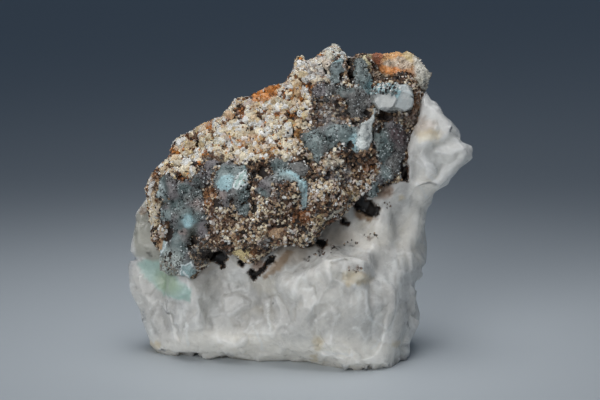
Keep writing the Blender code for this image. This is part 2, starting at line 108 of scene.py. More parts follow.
# %% [markdown]
# ## Floor and light
#
# The stone stands on a plain pale table. Two soft lights hang over it, a wide one and a nearer, smaller
# one that gives the shadow at its foot, and a third stands at the front left. The far end of the table
# is out of their reach and falls off into a cool grey.

# %% Floor and light
FLOOR_SIZE = 8.0
LIGHTS = {
    "light_above": dict(place=(0.0, -0.20, 0.42), size=0.40, power=0.06, spread=84),
    "light_near": dict(place=(0.0, -0.02, 0.30), size=0.25, power=0.095, spread=60),
    "light_front": dict(place=(-0.30, -0.60, 0.24), size=0.45, power=0.36, spread=60),
}
ROOM_COLOUR = (0.24, 0.33, 0.46, 1)
ROOM_STRENGTH = 0.20


def soft_light(name, place, size, power, spread):
    """A square of soft light that faces the middle of the stone."""
    bpy.ops.object.light_add(type="AREA", location=place)
    lamp = bpy.context.object
    lamp.name = name
    away = np.array(place) - AIM * MM
    lamp.rotation_euler = (math.atan2(math.hypot(away[0], away[1]), away[2]), 0,
                           math.atan2(away[0], -away[1]))
    lamp.data.size = size
    lamp.data.energy = power
    lamp.data.spread = math.radians(spread)


for name, values in LIGHTS.items():
    soft_light(name, **values)
bpy.ops.mesh.primitive_plane_add(size=FLOOR_SIZE)
floor = bpy.context.object
floor.name = "floor"
floor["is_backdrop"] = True
world = bpy.data.worlds.new("grey room")
world.use_nodes = True
world.node_tree.nodes["Background"].inputs["Color"].default_value = ROOM_COLOUR
world.node_tree.nodes["Background"].inputs["Strength"].default_value = ROOM_STRENGTH
bpy.context.scene.world = world
bpy.context.scene.view_settings.view_transform = "Standard"
print("floor", FLOOR_SIZE, "m wide")

# %% [markdown]
# ## Natural irregularity
#
# Nothing on a mineral is even, so almost every step below leans on two kinds of pattern. Soft noise
# gives lumps and clouds. A cell pattern gives grains: each point learns how far the nearest of many
# scattered seeds is. Both are worked out for all points of a mesh at once, from whole-number cells,
# so they come out the same on each run.


# %% Noise
def cell_random(cells, seed):
    """A fixed random number from 0 to 1 for each cell."""
    x, y, z = cells.astype(np.int64).T
    mixed = ((x * 73856093) ^ (y * 19349663) ^ (z * 83492791) ^ (seed * 49979693)) & 0xFFFFFFFF
    mixed = ((mixed ^ (mixed >> 15)) * 73244475) & 0xFFFFFFFF
    mixed = ((mixed ^ (mixed >> 13)) * 65860097) & 0xFFFFFFFF
    return (mixed ^ (mixed >> 16)) / 0xFFFFFFFF


def cell_spot(cells, seed):
    """A fixed random place from 0 to 1 in each cell."""
    return np.column_stack([cell_random(cells, seed + k) for k in range(3)])


def soft_noise(points, size, seed):
    """Smooth lumps of about this size, from -1 to 1."""
    place = points / size
    corner = np.floor(place)
    share = place - corner
    share = share * share * (3 - 2 * share)
    total = np.zeros(len(points))
    for step in np.ndindex(2, 2, 2):
        total += np.prod(np.where(step, share, 1 - share), axis=1) * cell_random(corner + step, seed)
    return 2 * total - 1


def clouds(points, size, seed, layers=3):
    """Soft noise with finer and finer layers on it, from about -1 to 1."""
    total = sum(soft_noise(points, size / 2**k, seed + k) / 2**k for k in range(layers))
    return total / 1.4


def drift(points, size, seed):
    """A soft random shift for each point, in all three directions."""
    return np.column_stack([clouds(points, size, seed + k) for k in range(3)])


print("noise at the origin:", round(float(soft_noise(np.zeros((1, 3)), 1, 1)[0]), 3))


# %% [markdown]
# Crystal grains crowd one another, so each ends where the next begins. A cell pattern has just such borders.
# `facets` gives each cell a flat face with its own tilt, as on a broken crystal. `cell_pattern` gives the
# distances that grains and pits are shaped from.

# %% Cell patterns
def facets(points, size, slope, seed):
    """The height of small flat faces of this size, each with its own random tilt."""
    place = points / size
    corner = np.floor(place)
    nearest, height = np.full(len(points), 9.0), np.zeros(len(points))
    for step in np.ndindex(3, 3, 3):
        cell = corner + step - 1
        away = place - cell - cell_spot(cell, seed)
        tilt = cell_spot(cell, seed + 3) * 2 - 1
        distance = np.linalg.norm(away, axis=1)
        height = np.where(distance < nearest, (away * tilt).sum(axis=1), height)
        nearest = np.minimum(distance, nearest)
    return height * size * slope


def cell_pattern(points, size, seed):
    """Distance to the nearest and the second nearest seed, in cell sizes, and the nearest seed's number."""
    place = points / size
    corner = np.floor(place)
    nearest, second, label = np.full(len(points), 9.0), np.full(len(points), 9.0), np.zeros(len(points))
    for step in np.ndindex(3, 3, 3):
        cell = corner + step - 1
        spot = cell + cell_spot(cell, seed)
        distance = np.linalg.norm(place - spot, axis=1)
        closer = distance < nearest
        second = np.where(closer, nearest, np.minimum(second, distance))
        label = np.where(closer, spot[:, 0] - cell[:, 0], label)
        nearest = np.where(closer, distance, nearest)
    return nearest, second, label


def dome(distance):
    """The height of a round grain at this distance from its middle, both in grain sizes."""
    return np.sqrt(np.clip(1 - distance**2, 0, 1))


print("a grain is", round(float(dome(np.array([0.5]))[0]), 2), "high half way out")

# %% [markdown]
# ## Working on meshes
#
# The solids have large flat faces. Each piece starts as a copy of its solid. Its doubled corners are
# merged, and a voxel remesh turns it into an even net of small squares that can carry fine relief.


# %% Mesh helpers
def points_of(piece):
    """The piece's vertices in millimetres."""
    flat = np.empty(3 * len(piece.data.vertices), np.float32)
    piece.data.vertices.foreach_get("co", flat)
    return flat.reshape(-1, 3).astype(float) / MM


def normals_of(piece):
    """The outward direction at each vertex."""
    flat = np.empty(3 * len(piece.data.vertices), np.float32)
    piece.data.vertices.foreach_get("normal", flat)
    return flat.reshape(-1, 3).astype(float)


def move_points(piece, points):
    """Puts the vertices at these places."""
    piece.data.vertices.foreach_set("co", (points * MM).astype(np.float32).ravel())
    piece.data.update()


def finish_with(piece, kind, **settings):
    """Adds a modifier with these settings and applies it."""
    bpy.ops.object.select_all(action="DESELECT")
    piece.select_set(True)
    bpy.context.view_layer.objects.active = piece
    modifier = piece.modifiers.new(kind.lower(), kind)
    for name, value in settings.items():
        setattr(modifier, name, value)
    bpy.ops.object.modifier_apply(modifier=modifier.name)


def piece_of(name, mesh):
    """Puts a mesh into the scene as a piece."""
    piece = bpy.data.objects.new(name, mesh)
    bpy.context.scene.collection.objects.link(piece)
    return piece


print("helpers for", len(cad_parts), "solids")


# %% [markdown]
# Some pieces stand for one solid and others for several. Their solids are copied into one mesh and grown a
# little first, which closes the gaps between them when the remesh fuses them.

# %% Copies of the solids
def copy_of_solids(name, nodes, grow=0.0):
    """One piece that copies these solids, each grown outwards a little."""
    shape = bmesh.new()
    for node in nodes:
        part = bmesh.new()
        part.from_mesh(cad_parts[node].data)
        bmesh.ops.remove_doubles(part, verts=part.verts, dist=0.002 * MM)
        part.normal_update()
        for vertex in part.verts:
            vertex.co += vertex.normal * grow * MM
        mesh = bpy.data.meshes.new("part")
        part.to_mesh(mesh)
        part.free()
        shape.from_mesh(mesh)
        bpy.data.meshes.remove(mesh)
    mesh = bpy.data.meshes.new(name)
    shape.to_mesh(mesh)
    shape.free()
    return piece_of(name, mesh)


def fine_net(piece, size):
    """Gives the piece an even net of squares of this size."""
    finish_with(piece, "REMESH", mode="VOXEL", voxel_size=size * MM, use_smooth_shade=True)


print("solid corners:", {name: len(node.data.vertices) for name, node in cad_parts.items()})

# %% [markdown]
# Stone breaks along flat faces. `flat_break` presses what stands out past a plane back onto it, and
# `break_off` does so at many chosen points, each time with a random tilt, depth and reach.


# %% Breaks
def unit(vector):
    """The same direction with a length of one."""
    return vector / np.linalg.norm(vector)


def flat_break(points, place, outward, reach):
    """Presses what stands out past a plane back onto it, near the place."""
    outward = unit(outward)
    out = (points - place) @ outward
    near = np.clip(1.5 - np.linalg.norm(points - place, axis=1) / reach, 0, 0.5) * 2
    return points - (np.maximum(out, 0) * near)[:, None] * outward


def break_off(points, normals, chosen, tilt, depths, reaches, rng, depth=1.0):
    """Flat breaks at the chosen points, in random directions round their normals."""
    for index in chosen:
        outward = unit(normals[index] + rng.normal(0, tilt, 3))
        place = points[index] - outward * rng.uniform(*depths) * depth
        points = flat_break(points, place, outward, rng.uniform(*reaches))
    return points


print("a break two above the origin:", flat_break(np.array([[0, 0, 3.0]]), (0, 0, 2), np.array((0, 0, 1)), 4))

# %% [markdown]
# ## Painting by place
#
# A mineral's colours follow its crystals: here a rusty nest, there a bluish film. They are painted
# onto the vertices as a colour attribute that the materials read. Each patch is a shape in the picture,
# in millimetres right of and above its middle, with a ragged border. Colours are written as they look
# on the lit stone, and `paint` turns them into the stone's own colour.

# %% Colours
LIGHT_LOSS = 1.65


def paint(red, green, blue):
    """The stone's own colour for a colour seen on it, given from 0 to 255."""
    seen = np.array((red, green, blue)) / 255
    linear = np.where(seen <= 0.04045, seen / 12.92, ((seen + 0.055) / 1.055) ** 2.4)
    return np.minimum(linear * LIGHT_LOSS, 0.9)


def all_over(colour, points):
    """One colour at every point."""
    return np.tile(colour, (len(points), 1))


def blend_to(tint, colour, amount):
    """Moves the tint towards a colour, by an amount from 0 to 1 at each vertex."""
    return tint + (np.asarray(colour) - tint) * np.clip(amount, 0, 1)[:, None]


def cloud_in(tint, points, *rows):
    """Blends colours in as clouds, given as (colour, size, seed, gain, shift, most)."""
    for colour, size, seed, gain, shift, most in rows:
        tint = blend_to(tint, colour, np.clip(clouds(points, size, seed) * gain + shift, 0, most))
    return tint


def store_tint(piece, tint):
    """Keeps the painted colours on the piece."""
    attribute = piece.data.color_attributes.new("Tint", "FLOAT_COLOR", "POINT")
    rgba = np.column_stack([np.clip(tint, 0, 1), np.ones(len(tint))]).astype(np.float32)
    attribute.data.foreach_set("color", rgba.ravel())


print("white seen as 168 is stone of", paint(168, 168, 168).round(2))


# %% [markdown]
# A stain has one of three shapes: a soft oval, a closed outline or a line. Each gives a number at every
# vertex, such as how far inside the outline it lies. `ragged` bends the places a little first, so that no
# border is a clean curve.

# %% Shapes in the picture
def along(start, end, across, up):
    """The share of the way from start to end that lies nearest each point, and the whole way."""
    (x0, y0), (x1, y1) = start, end
    dx, dy = x1 - x0, y1 - y0
    return np.clip(((across - x0) * dx + (up - y0) * dy) / (dx * dx + dy * dy), 0, 1), dx, dy


def line_distance(start, end, across, up):
    """The distance of each point from a line, as seen."""
    share, dx, dy = along(start, end, across, up)
    return np.hypot(across - start[0] - share * dx, up - start[1] - share * dy)


def inside_by(outline, across, up):
    """How far inside a closed outline each point appears. Outside it is negative."""
    nearest = np.full(len(across), np.inf)
    inside = np.zeros(len(across), bool)
    for start, end in zip(outline, outline[1:] + outline[:1]):
        (x0, y0), (x1, y1) = start, end
        nearest = np.minimum(nearest, line_distance(start, end, across, up))
        inside ^= ((y0 > up) != (y1 > up)) & (across < x0 + (up - y0) / (y1 - y0 or 1) * (x1 - x0))
    return np.where(inside, nearest, -nearest)


def spot_amount(spot, across, up):
    """From 1 in the middle of a round spot down to 0 at its border and beyond."""
    middle_across, middle_up, half_width, half_height = spot
    away = np.hypot((across - middle_across) / half_width, (up - middle_up) / half_height)
    return np.clip(1 - away, 0, 1)


def ragged(points, across, up, amount, seed):
    """The same places, shifted by noise, so that a patch drawn on them gets a ragged border."""
    shift = clouds(points, 2.2, seed), clouds(points, 2.2, seed + 9)
    return across + shift[0] * amount, up + shift[1] * amount


def paint_spots(tint, spots, across, up, strength=1.0, hardness=2.5, most=1.0):
    """Paints round spots, given as (colour, across, up, half width, half height)."""
    for colour, *spot in spots:
        amount = np.clip(spot_amount(spot, across, up) * hardness, 0, most) * strength
        tint = blend_to(tint, colour, amount)
    return tint


def paint_shapes(tint, shapes, across, up, strength=1.0):
    """Paints closed shapes, given as (colour, softness of the border, outline)."""
    for colour, softness, outline in shapes:
        amount = np.clip(inside_by(outline, across, up) / softness + 0.5, 0, 1) * strength
        tint = blend_to(tint, colour, amount)
    return tint


square = [(0, 0), (2, 0), (2, 2), (0, 2)]
print("middle of a square is", inside_by(square, np.ones(1), np.ones(1))[0], "inside")

# %% [markdown]
# ## The outline
#
# The stone's outline against the background is its most telling feature. It is written down once, in the
# same millimetres right of and above the middle. `fit_outline` pulls back what sticks out past it, and
# draws the rim of a piece out to it where it falls short.

# %% Outline
OUTLINE = [
    (-39, 2.8), (-38.2, 5), (-36.8, 7.2), (-35, 9), (-33, 10.8), (-32.5, 13), (-31.2, 15.2), (-30, 16.2),
    (-27.5, 17.2), (-25, 19), (-22.2, 20.2), (-19.8, 21), (-18.5, 22.5), (-16.8, 24.8), (-15, 25.8),
    (-12.5, 26.2), (-9.5, 27.8), (-7, 28.8), (-4, 29.4), (-3, 31), (-2, 32.8), (-1.2, 35.2), (-0.2, 36.2),
    (0.8, 35.6), (1.8, 35), (3.2, 35.5), (5.2, 37), (6.5, 38), (8, 38.8), (9, 39.1), (10, 38.5),
    (11.2, 37.2), (11.8, 35.9), (13.2, 36), (14.5, 36.8), (16.5, 36.9), (21.2, 36.6), (25.5, 37.1),
    (26.8, 37.6), (28.5, 36.6), (30.8, 34.2), (33.2, 31.6), (32.2, 29.2), (31.5, 27.2), (32.8, 25),
    (34, 24.5), (35.2, 23), (36, 21.2), (37.5, 20), (39.8, 17.5), (40.2, 16), (40, 14.8), (41.2, 14.2),
    (43, 13.5), (43.2, 12.5), (43, 11.2), (43.2, 10.5), (42.5, 9.8), (40, 8), (38.8, 6.5), (37.5, 5),
    (37, 3.8), (35, 2.8), (33.5, 1.8), (33.2, 0.5), (32.8, -1), (31.8, -2.2), (31.2, -7), (31.8, -11.5),
    (31.5, -15.8), (30.2, -17.2), (31, -18.8), (30.1, -19.6), (27.8, -21.2), (29.2, -22.8), (29, -24.8),
    (30, -28.5), (29.8, -31), (28.5, -33.8), (27.5, -35.5), (27.5, -39.2), (25.5, -42.2), (22, -42.5),
    (10, -42.5), (6.2, -42.2), (5.2, -41.2), (2.5, -40.5), (-3.8, -40), (-9.5, -40.8), (-12.5, -40),
    (-16.2, -39.2), (-18.8, -38.8), (-20.5, -39.2), (-22.5, -39.8), (-24, -39.8), (-25.5, -38.5),
    (-27, -38), (-28.8, -38.2), (-31, -39), (-33.8, -38.8), (-35, -38), (-37.5, -37), (-37.6, -35),
    (-39.5, -30.1), (-40, -27.5), (-42.5, -22.8), (-43, -17), (-42.2, -10.8), (-41, -5.5), (-41.2, -3.5),
    (-40, -1.8), (-38.5, 0.2),
]
SEEN_RIGHT = np.array((1.0, 0.0, 0.0))
SEEN_UP = np.array((0.0, math.sin(VIEW_TILT), math.cos(VIEW_TILT)))


def nearest_on_outline(across, up):
    """The way from each point to the nearest place of the outline."""
    best = np.full(len(across), np.inf)
    way_across, way_up = np.zeros(len(across)), np.zeros(len(across))
    for start, end in zip(OUTLINE, OUTLINE[1:] + OUTLINE[:1]):
        share, dx, dy = along(start, end, across, up)
        to_across, to_up = start[0] + share * dx - across, start[1] + share * dy - up
        closer = np.hypot(to_across, to_up) < best
        best = np.where(closer, np.hypot(to_across, to_up), best)
        way_across, way_up = np.where(closer, to_across, way_across), np.where(closer, to_up, way_up)
    return best, way_across, way_up


def fit_outline(points, normals, margin=0.0, reach=0.0):
    """Moves points to at least the margin inside the outline, and rims within reach out to it."""
    across, up = as_seen(points)
    away, way_across, way_up = nearest_on_outline(across, up)
    outward = (way_across[:, None] * SEEN_RIGHT + way_up[:, None] * SEEN_UP) / np.maximum(away, 1e-6)[:, None]
    inside = inside_by(OUTLINE, across, up)
    outward *= np.sign(inside)[:, None]
    back = np.maximum(margin - inside, 0)
    rim = np.clip(1.3 - np.abs(normals @ TOWARDS_VIEWER) / 0.35, 0, 1)
    short = np.clip(inside - margin, 0, None)
    out = short * np.clip((reach - short) / 0.6, 0, 1) * rim if reach else 0
    return points + outward * (out - back)[:, None]


print("outline of", len(OUTLINE), "points")

# %% [markdown]
# Crystals end in flat faces. `press_plates` presses such a face into the side that is seen: inside an
# outline the points are brought onto one slanting plane, and its border becomes a crisp edge.


# %% Flat plates
def press_plates(points, normals, plates, limit=0.8, border=0.25):
    """Flat faces inside outlines. Each plate has its outline, its slopes across and up, and its rise."""
    across, up = as_seen(points)
    seen = normals @ TOWARDS_VIEWER > 0.15
    for outline, slope_across, slope_up, rise in plates:
        inside = inside_by(outline, across, up)
        within = seen & (inside > 0)
        towards = points @ TOWARDS_VIEWER
        flat = (towards[within].mean() + rise + slope_across * (across - across[within].mean())
                + slope_up * (up - up[within].mean()))
        way = np.clip(flat - towards, -limit, limit) * np.clip(inside / border, 0, 1) * seen
        points = points + TOWARDS_VIEWER * way[:, None]
    return points


print("plates are pressed along", TOWARDS_VIEWER.round(2))

# %% [markdown]
# ## The milky quartz
#
# Quartz has no planes to split along. It breaks in shells and flat chips, and leaves sharp ridges. A fine
# net is laid over the solid and its facets are smoothed away. Wide balls then scoop shallow shells out of
# it, with fine ripples round the point of the blow.

# %% Quartz shells
QUARTZ_NET = 0.46
SHELLS = [
    (15, -33, 13, 15.5), (24, -24, 22, 8), (-24, -34, 14, 17), (-8, -34, 24, 11.5), (36, -24, 52, 12.5),
    (26, -24, 34, 12), (-38, -22, 24, 13), (-14, 42, 30, 19), (16, 40, 22, 17), (4, 36, 50, 20),
]
SHELL_DEPTH = 0.9
RIPPLE_STEP = 1.6
RIPPLE_HEIGHT = 0.05

quartz = copy_of_solids("milky_quartz", ["quartz_matrix"])
fine_net(quartz, QUARTZ_NET)
normals = normals_of(quartz)
base_rows = (points_of(quartz)[:, 2] < 0.25) & (normals[:, 2] < -0.9)
finish_with(quartz, "SMOOTH", factor=0.5, iterations=6)
points = points_of(quartz)
smoothed = points.copy()
for x, y, z, radius in SHELLS:
    away = points - np.array((x, y, z))
    distance = np.linalg.norm(away, axis=1)
    pushed = np.clip(radius - distance, 0, SHELL_DEPTH)
    rings = np.linalg.norm(away[:, [0, 2]] - (radius * 0.4, radius * 0.3), axis=1)
    ripple = np.sin(rings * 2 * math.pi / RIPPLE_STEP) * RIPPLE_HEIGHT * np.clip(pushed * 3, 0, 1)
    points += away / distance[:, None] * (pushed + ripple)[:, None]
move_points(quartz, points)
print(len(SHELLS), "shells in", len(points), "vertices")

# %% [markdown]
# Over a hundred plane breaks then press the stone flat here and there, and small chips go off its edges.
# No point may move far from the solid, and least of all at the outline.

# %% Quartz breaks
QUARTZ_BREAKS = [(70, (4.0, 8.0), 0.42), (60, (1.5, 3.0), 0.10)]
EDGE_CHIPS = 420
MOST_CUT = (0.45, 0.90)

rng = np.random.default_rng(5)
normals = normals_of(quartz)
for count, reaches, depth in QUARTZ_BREAKS:
    chosen = rng.choice(len(points), count)
    points = break_off(points, normals, chosen, 0.22, (0.3, 1.0), reaches, rng, depth)
edges = np.flatnonzero((np.abs(normals @ TOWARDS_VIEWER) < 0.45) | (points[:, 2] < 2.5))
points = break_off(points, normals, rng.choice(edges, EDGE_CHIPS), 0.5, (0.15, 0.5), (0.6, 1.5), rng)
moved = points - smoothed
allowed = MOST_CUT[0] + (MOST_CUT[1] - MOST_CUT[0]) * np.abs(normals @ TOWARDS_VIEWER) ** 2
length = np.linalg.norm(moved, axis=1)
points = smoothed + moved * np.minimum(1, allowed / np.maximum(length, 1e-6))[:, None]
move_points(quartz, points)
print("moved by up to", round(float(np.minimum(length, allowed).max()), 2), "mm")

# %% [markdown]
# The clearest flat faces are placed one by one, and so are the dark hollows under the lip of the crust. They
# are pushed in as real holes.

# %% Quartz plates and cavities
QUARTZ_PLATES = [
    ([(-18, -20.8), (-15, -20.2), (-13.5, -21.8), (-14.2, -23), (-17.2, -23)], 0, -0.5, 0.2),
    ([(-19.5, -24), (-16, -23.2), (-12.5, -25), (-12, -29), (-13.5, -32.5), (-17, -31.5), (-19, -28)],
        -0.1, 0.3, 0),
    ([(-23.2, -29.5), (-19.5, -28.5), (-15, -30.5), (-13.5, -34), (-16, -36.2), (-20.5, -36.2)],
        0.1, -0.3, 0.2),
    ([(5, -37.5), (8.8, -36.2), (13, -37.5), (12.5, -39.2), (8.8, -39.8), (5.5, -39.5)], 0, -0.5, 0.4),
    ([(0, -22), (4, -21), (4.5, -25), (3, -28), (0.5, -27)], 0.2, -0.2, 0.3),
    ([(3.5, -26.5), (6.5, -25.5), (8.5, -29.5), (7.5, -35), (4.5, -36.5), (2.5, -32.5)], -0.25, 0.2, 0),
    ([(17, -20.5), (21, -19), (24, -22.5), (24, -28), (22, -33), (18.5, -30.5), (17, -26)],
        -0.3, -0.05, 0.2),
    ([(23.8, -13.8), (28, -13), (30, -15.5), (28.5, -18), (24.5, -17.5)], -0.1, 0.3, 0),
    ([(33, 14.5), (37.5, 15.5), (42, 14), (41.5, 12.5), (38, 11), (34, 11.5)], -0.1, -0.45, 0.2),
    ([(-35, -25), (-30, -25.5), (-28.5, -30.5), (-30, -35.5), (-34.5, -35), (-37.5, -30)],
        0.25, -0.1, 0.1),
    ([(-9.5, -25), (-3.8, -23), (-0.5, -25), (-1, -30.5), (-6, -32.5), (-9, -29.5)], 0.1, -0.2, 0.1),
    ([(7.5, -15.5), (13, -14), (18, -15.5), (19, -19), (12.5, -21), (8, -19.5)], 0, -0.35, 0.2),
]
LOBE_PLATES = [
    ([(28.8, 20), (31, 23), (33.8, 24), (37.5, 20), (40.2, 16), (35, 15), (29.5, 15.5)], 0.1, -0.2, 0.1),
    ([(28, 13.8), (35, 14.4), (42.4, 13), (42.6, 10.6), (38.6, 6.6), (35, 2.6), (31.4, -2), (28, 0),
        (27, 7.5)], 0.16, -0.12, 0.2),
]
CAVITIES = [
    [(12.5, 0), (14, 2.5), (16, 2), (16.5, 0), (18, -0.2), (20, -1.8), (20, -3.5), (18.8, -4.5),
     (16.2, -3.5), (14.2, -2.5), (13, -1.2)],
    [(8.2, -3.2), (9.5, -3.2), (10.2, -4.2), (11.5, -4.8), (12.5, -6), (12, -6.5), (10.8, -6), (9.8, -5),
     (8.8, -4.5)],
    [(1.2, -10), (2, -9.8), (3, -10.2), (3.2, -11.2), (2.2, -11.8), (1.5, -11.2)],
    [(3.8, -10.8), (4.5, -10), (5.8, -9.8), (6.8, -10.2), (7, -11), (6.2, -11.5), (5.8, -12.2),
     (4.8, -11.5)],
    [(-15.8, -15.5), (-14.8, -14.8), (-13.5, -15.5), (-14, -16.5), (-15, -16.8)],
    [(-13.2, -18), (-12.5, -17), (-11, -18), (-9.5, -17), (-8.5, -15.5), (-7.5, -14.2), (-6, -14),
     (-6.5, -15.5), (-8, -16.5), (-9.2, -18), (-10.5, -19.2), (-11.5, -20.5), (-12.5, -19.2)],
    [(-23, -12), (-21, -11.2), (-19, -12.5), (-18, -14.5), (-19, -15.5), (-18.5, -17), (-19.5, -17.5),
     (-20.5, -16), (-22, -15.5), (-23.5, -15)],
    [(-27, -14.5), (-25.5, -13.8), (-23.8, -14.2), (-23.5, -16), (-24.5, -17), (-25.8, -16.5)],
    [(23.8, 5.5), (24.5, 7.5), (26, 9.2), (27.2, 8.8), (27.2, 4.5), (25.8, 4.8), (24.2, 4.5)],
]
CAVITY_DEPTH = 2.2

normals = normals_of(quartz)
bent = points + drift(points, 6, 31) * 0.7
points += normals * (facets(bent, 7.5, 0.07, 131) + facets(bent, 2.8, 0.022, 137)
                     + facets(points, 1.1, 0.012, 141))[:, None]
points = press_plates(points, normals, LOBE_PLATES, limit=1.4, border=1.6)
points = press_plates(points, normals, QUARTZ_PLATES)
across, up = as_seen(points)
rough_places = ragged(points * 2.2, across, up, 0.4, 46)
hollow = np.max([np.clip(inside_by(outline, *rough_places) / 0.4 + 0.5, 0, 1) for outline in CAVITIES],
                axis=0)
hollow *= facing(normals)
points -= TOWARDS_VIEWER * (hollow * CAVITY_DEPTH)[:, None]
print(len(CAVITIES), "cavities,", int((hollow > 0.5).sum()), "points in them")

# %% [markdown]
# Last, the quartz is fitted to the outline, and uneven bites along its foot let it stand on a few places.

# %% Quartz outline and foot
OUTLINE_REACH = 2.2
FOOT_BITE = 0.9

points = fit_outline(points, normals, 0.0, OUTLINE_REACH)
bite = np.clip(clouds(points * (1, 1, 0.2), 9.0, 151, 4) * 2.2 + 0.25, 0, 1) * FOOT_BITE
rim = np.clip(1.6 - points[:, 2] / 1.2, 0, 1) * np.clip(np.hypot(normals[:, 0], normals[:, 1]) * 2.5, 0, 1)
points[:, 2] += bite * rim
points[:, 2] = np.where(base_rows & (rim < 0.3), 0.0, np.maximum(points[:, 2], 0.0))
move_points(quartz, points)
print("quartz:", len(points), "vertices")

# %% [markdown]
# The quartz is nearly white, but it is clouded: greyer where it is glassy, whiter along healed cracks,
# yellowish where iron has crept in. Its foot is painted whiter, as painted light. A pale green tongue of
# hemimorphite lies on its left side.

# %% Quartz palette and places
QUARTZ_GREY = paint(168, 166, 161)
VEIL_WHITE = paint(184, 184, 181)
GLASSY_GREY = paint(150, 149, 146)
# Painted light: a whiter tone for the foot and for parts of the right side.
PAINTED_LIGHT_WHITE = paint(195, 191, 183)
IRON_YELLOW = paint(166, 154, 128)
IRON_BROWN = paint(96, 74, 56)
LIP_SHADE = paint(142, 134, 124)
LIP_BROWN = paint(122, 102, 80)
CAVITY_BLACK = paint(18, 15, 14)
SPECK_BLACK = paint(34, 30, 28)
MINT = paint(140, 160, 153)
MOSS = paint(136, 150, 132)
LEFT_GREY = paint(126, 125, 116)
GREEN_TONGUE = [
    (-40.8, -16.2), (-37.5, -14.5), (-33.8, -15.5), (-31.2, -18.8), (-30, -20.5), (-27, -22.5),
    (-27.5, -25.5), (-30.5, -25), (-33.8, -23.8), (-37.5, -20.5),
]
LEFT_STRIP = [(-41, -14), (-42, -5), (-38.5, 0), (-35.5, 0), (-36, -12), (-33, -16)]
WHITE_VEINS = [
    ((-28.5, -30.5), (-28, -36.2)), ((-8.2, -26.2), (-7, -32.5)), ((-12, -31.2), (-9.2, -37.5)),
    ((24.8, -20), (24.6, -25)), ((24.6, -25), (22.8, -32)), ((22.8, -32), (17.5, -36.8)),
    ((29.5, 15.5), (42.5, 13.8)), ((38, 14.8), (40, 14.6)), ((-18, -20.5), (-13.8, -22.8)),
    ((13, -31.8), (16.5, -34.2)), ((17.5, -30), (19, -31.5)), ((5, -37.5), (12.5, -39)),
    ((16.2, -22.5), (17, -29)), ((17, -29), (19, -31.8)), ((30, -10), (34, -14)),
    ((-4.5, -17), (-2, -17.2)), ((-2, -17.2), (2.5, -14.6)), ((2.5, -14.6), (9, -12.2)),
    ((9, -12.2), (17, -12.6)), ((30, 10.4), (34, 8)), ((31.4, 7.2), (34.2, 4.6)),
    ((37.4, 7.4), (37.6, 4.8)), ((0.4, -22), (2.8, -22.3)),
]
LOBE_STREAKS = [
    ((29, 9.5), (34, 6.5)), ((31, 11), (37, 8.5)), ((33, 5), (36.5, 2.8)), ((30, 20.5), (34, 18)),
    ((36, 13), (41, 12.4)), ((32.5, 13.2), (34.5, 10.5)), ((29, 4), (31.5, 0.5)),
]
BROWN_SPOTS = [
    (IRON_BROWN, 14.2, -17, 0.5, 0.9), (IRON_BROWN, 12.2, -16.8, 0.4, 0.5),
    (IRON_BROWN, 15.6, -18.2, 0.5, 0.4), (SPECK_BLACK, 26.8, -31.2, 0.5, 0.9),
    (IRON_YELLOW, 24, -36.2, 1.2, 1), (IRON_YELLOW, 3.2, -39.6, 1.4, 1),
    (IRON_YELLOW, 14, -19.6, 4.6, 2.2), (IRON_YELLOW, -36.5, -36.2, 1.8, 1.6),
    (paint(138, 124, 110), 30.5, 18.5, 4.6, 2.8), (IRON_YELLOW, 32.5, 16, 4, 2.2),
    (SPECK_BLACK, -15.8, -21.5, 0.4, 0.4), (SPECK_BLACK, -6.8, -25.8, 0.4, 0.4),
    (paint(110, 92, 76), 20.8, 2.6, 2.6, 2.8), (IRON_YELLOW, 25.6, 0.2, 1.2, 1),
    (IRON_BROWN, -39.2, -2.6, 1.4, 1.4), (SPECK_BLACK, -37.4, -13.2, 0.7, 0.9),
    (IRON_YELLOW, -27, -41, 7, 0.9), (IRON_YELLOW, 4.5, -36, 1.8, 2.6),
    (IRON_BROWN, 17.8, -9.4, 1.2, 0.5), (SPECK_BLACK, 13, -11.6, 1, 0.3), (SPECK_BLACK, 9, -12.2, 1, 0.3),
    (SPECK_BLACK, 5, -13.4, 1.2, 0.4), (SPECK_BLACK, 2, -14.6, 1.2, 0.4),
]
# Painted light: whiter spots on the foot and on the right side.
PAINTED_LIGHT_PARTS = [
    (PAINTED_LIGHT_WHITE, -20, -39, 26, 8), (PAINTED_LIGHT_WHITE, 14, -41, 24, 8), (PAINTED_LIGHT_WHITE, 29, -9, 6, 9),
    (PAINTED_LIGHT_WHITE, 32, 2.5, 5, 6), (PAINTED_LIGHT_WHITE, 17, -8.5, 7, 5),
]
LIP_SHADOWS = [
    (paint(120, 98, 78), 16.5, -3.6, 3.6, 2), (LIP_SHADE, 6, -9, 8.5, 4.5), (LIP_SHADE, -2, -13, 6, 3.6),
    (LIP_SHADE, -24, -16, 4, 3), (LIP_SHADE, 9.5, -4.5, 3, 2), (paint(128, 104, 84), 20.8, 2.4, 2.8, 3),
    (paint(104, 76, 56), -10.2, -16.4, 2.6, 1.6),
]
LIP_STAINS = [
    [(-10, -19), (-7.5, -17), (-5, -14.2), (-3, -12.6), (-1.5, -13), (-3.5, -15.5), (-6.5, -18.6),
     (-9, -20)],
    [(12.6, -1.6), (14.6, -4.6), (18, -5.6), (19.8, -4.8), (16.5, -3.8), (14.5, -2.6)],
]
print(len(WHITE_VEINS) + len(LOBE_STREAKS), "white veins,", len(BROWN_SPOTS), "stains")

# %% [markdown]
# The clouds come from noise at several sizes. The healed cracks are the borders of large cells, which meet
# in corners as real ones do. Both cover the hidden sides too.

# %% Quartz clouds and cracks
CRACKS = ((7.0, 81, 0.35), (3.0, 83, 0.2))

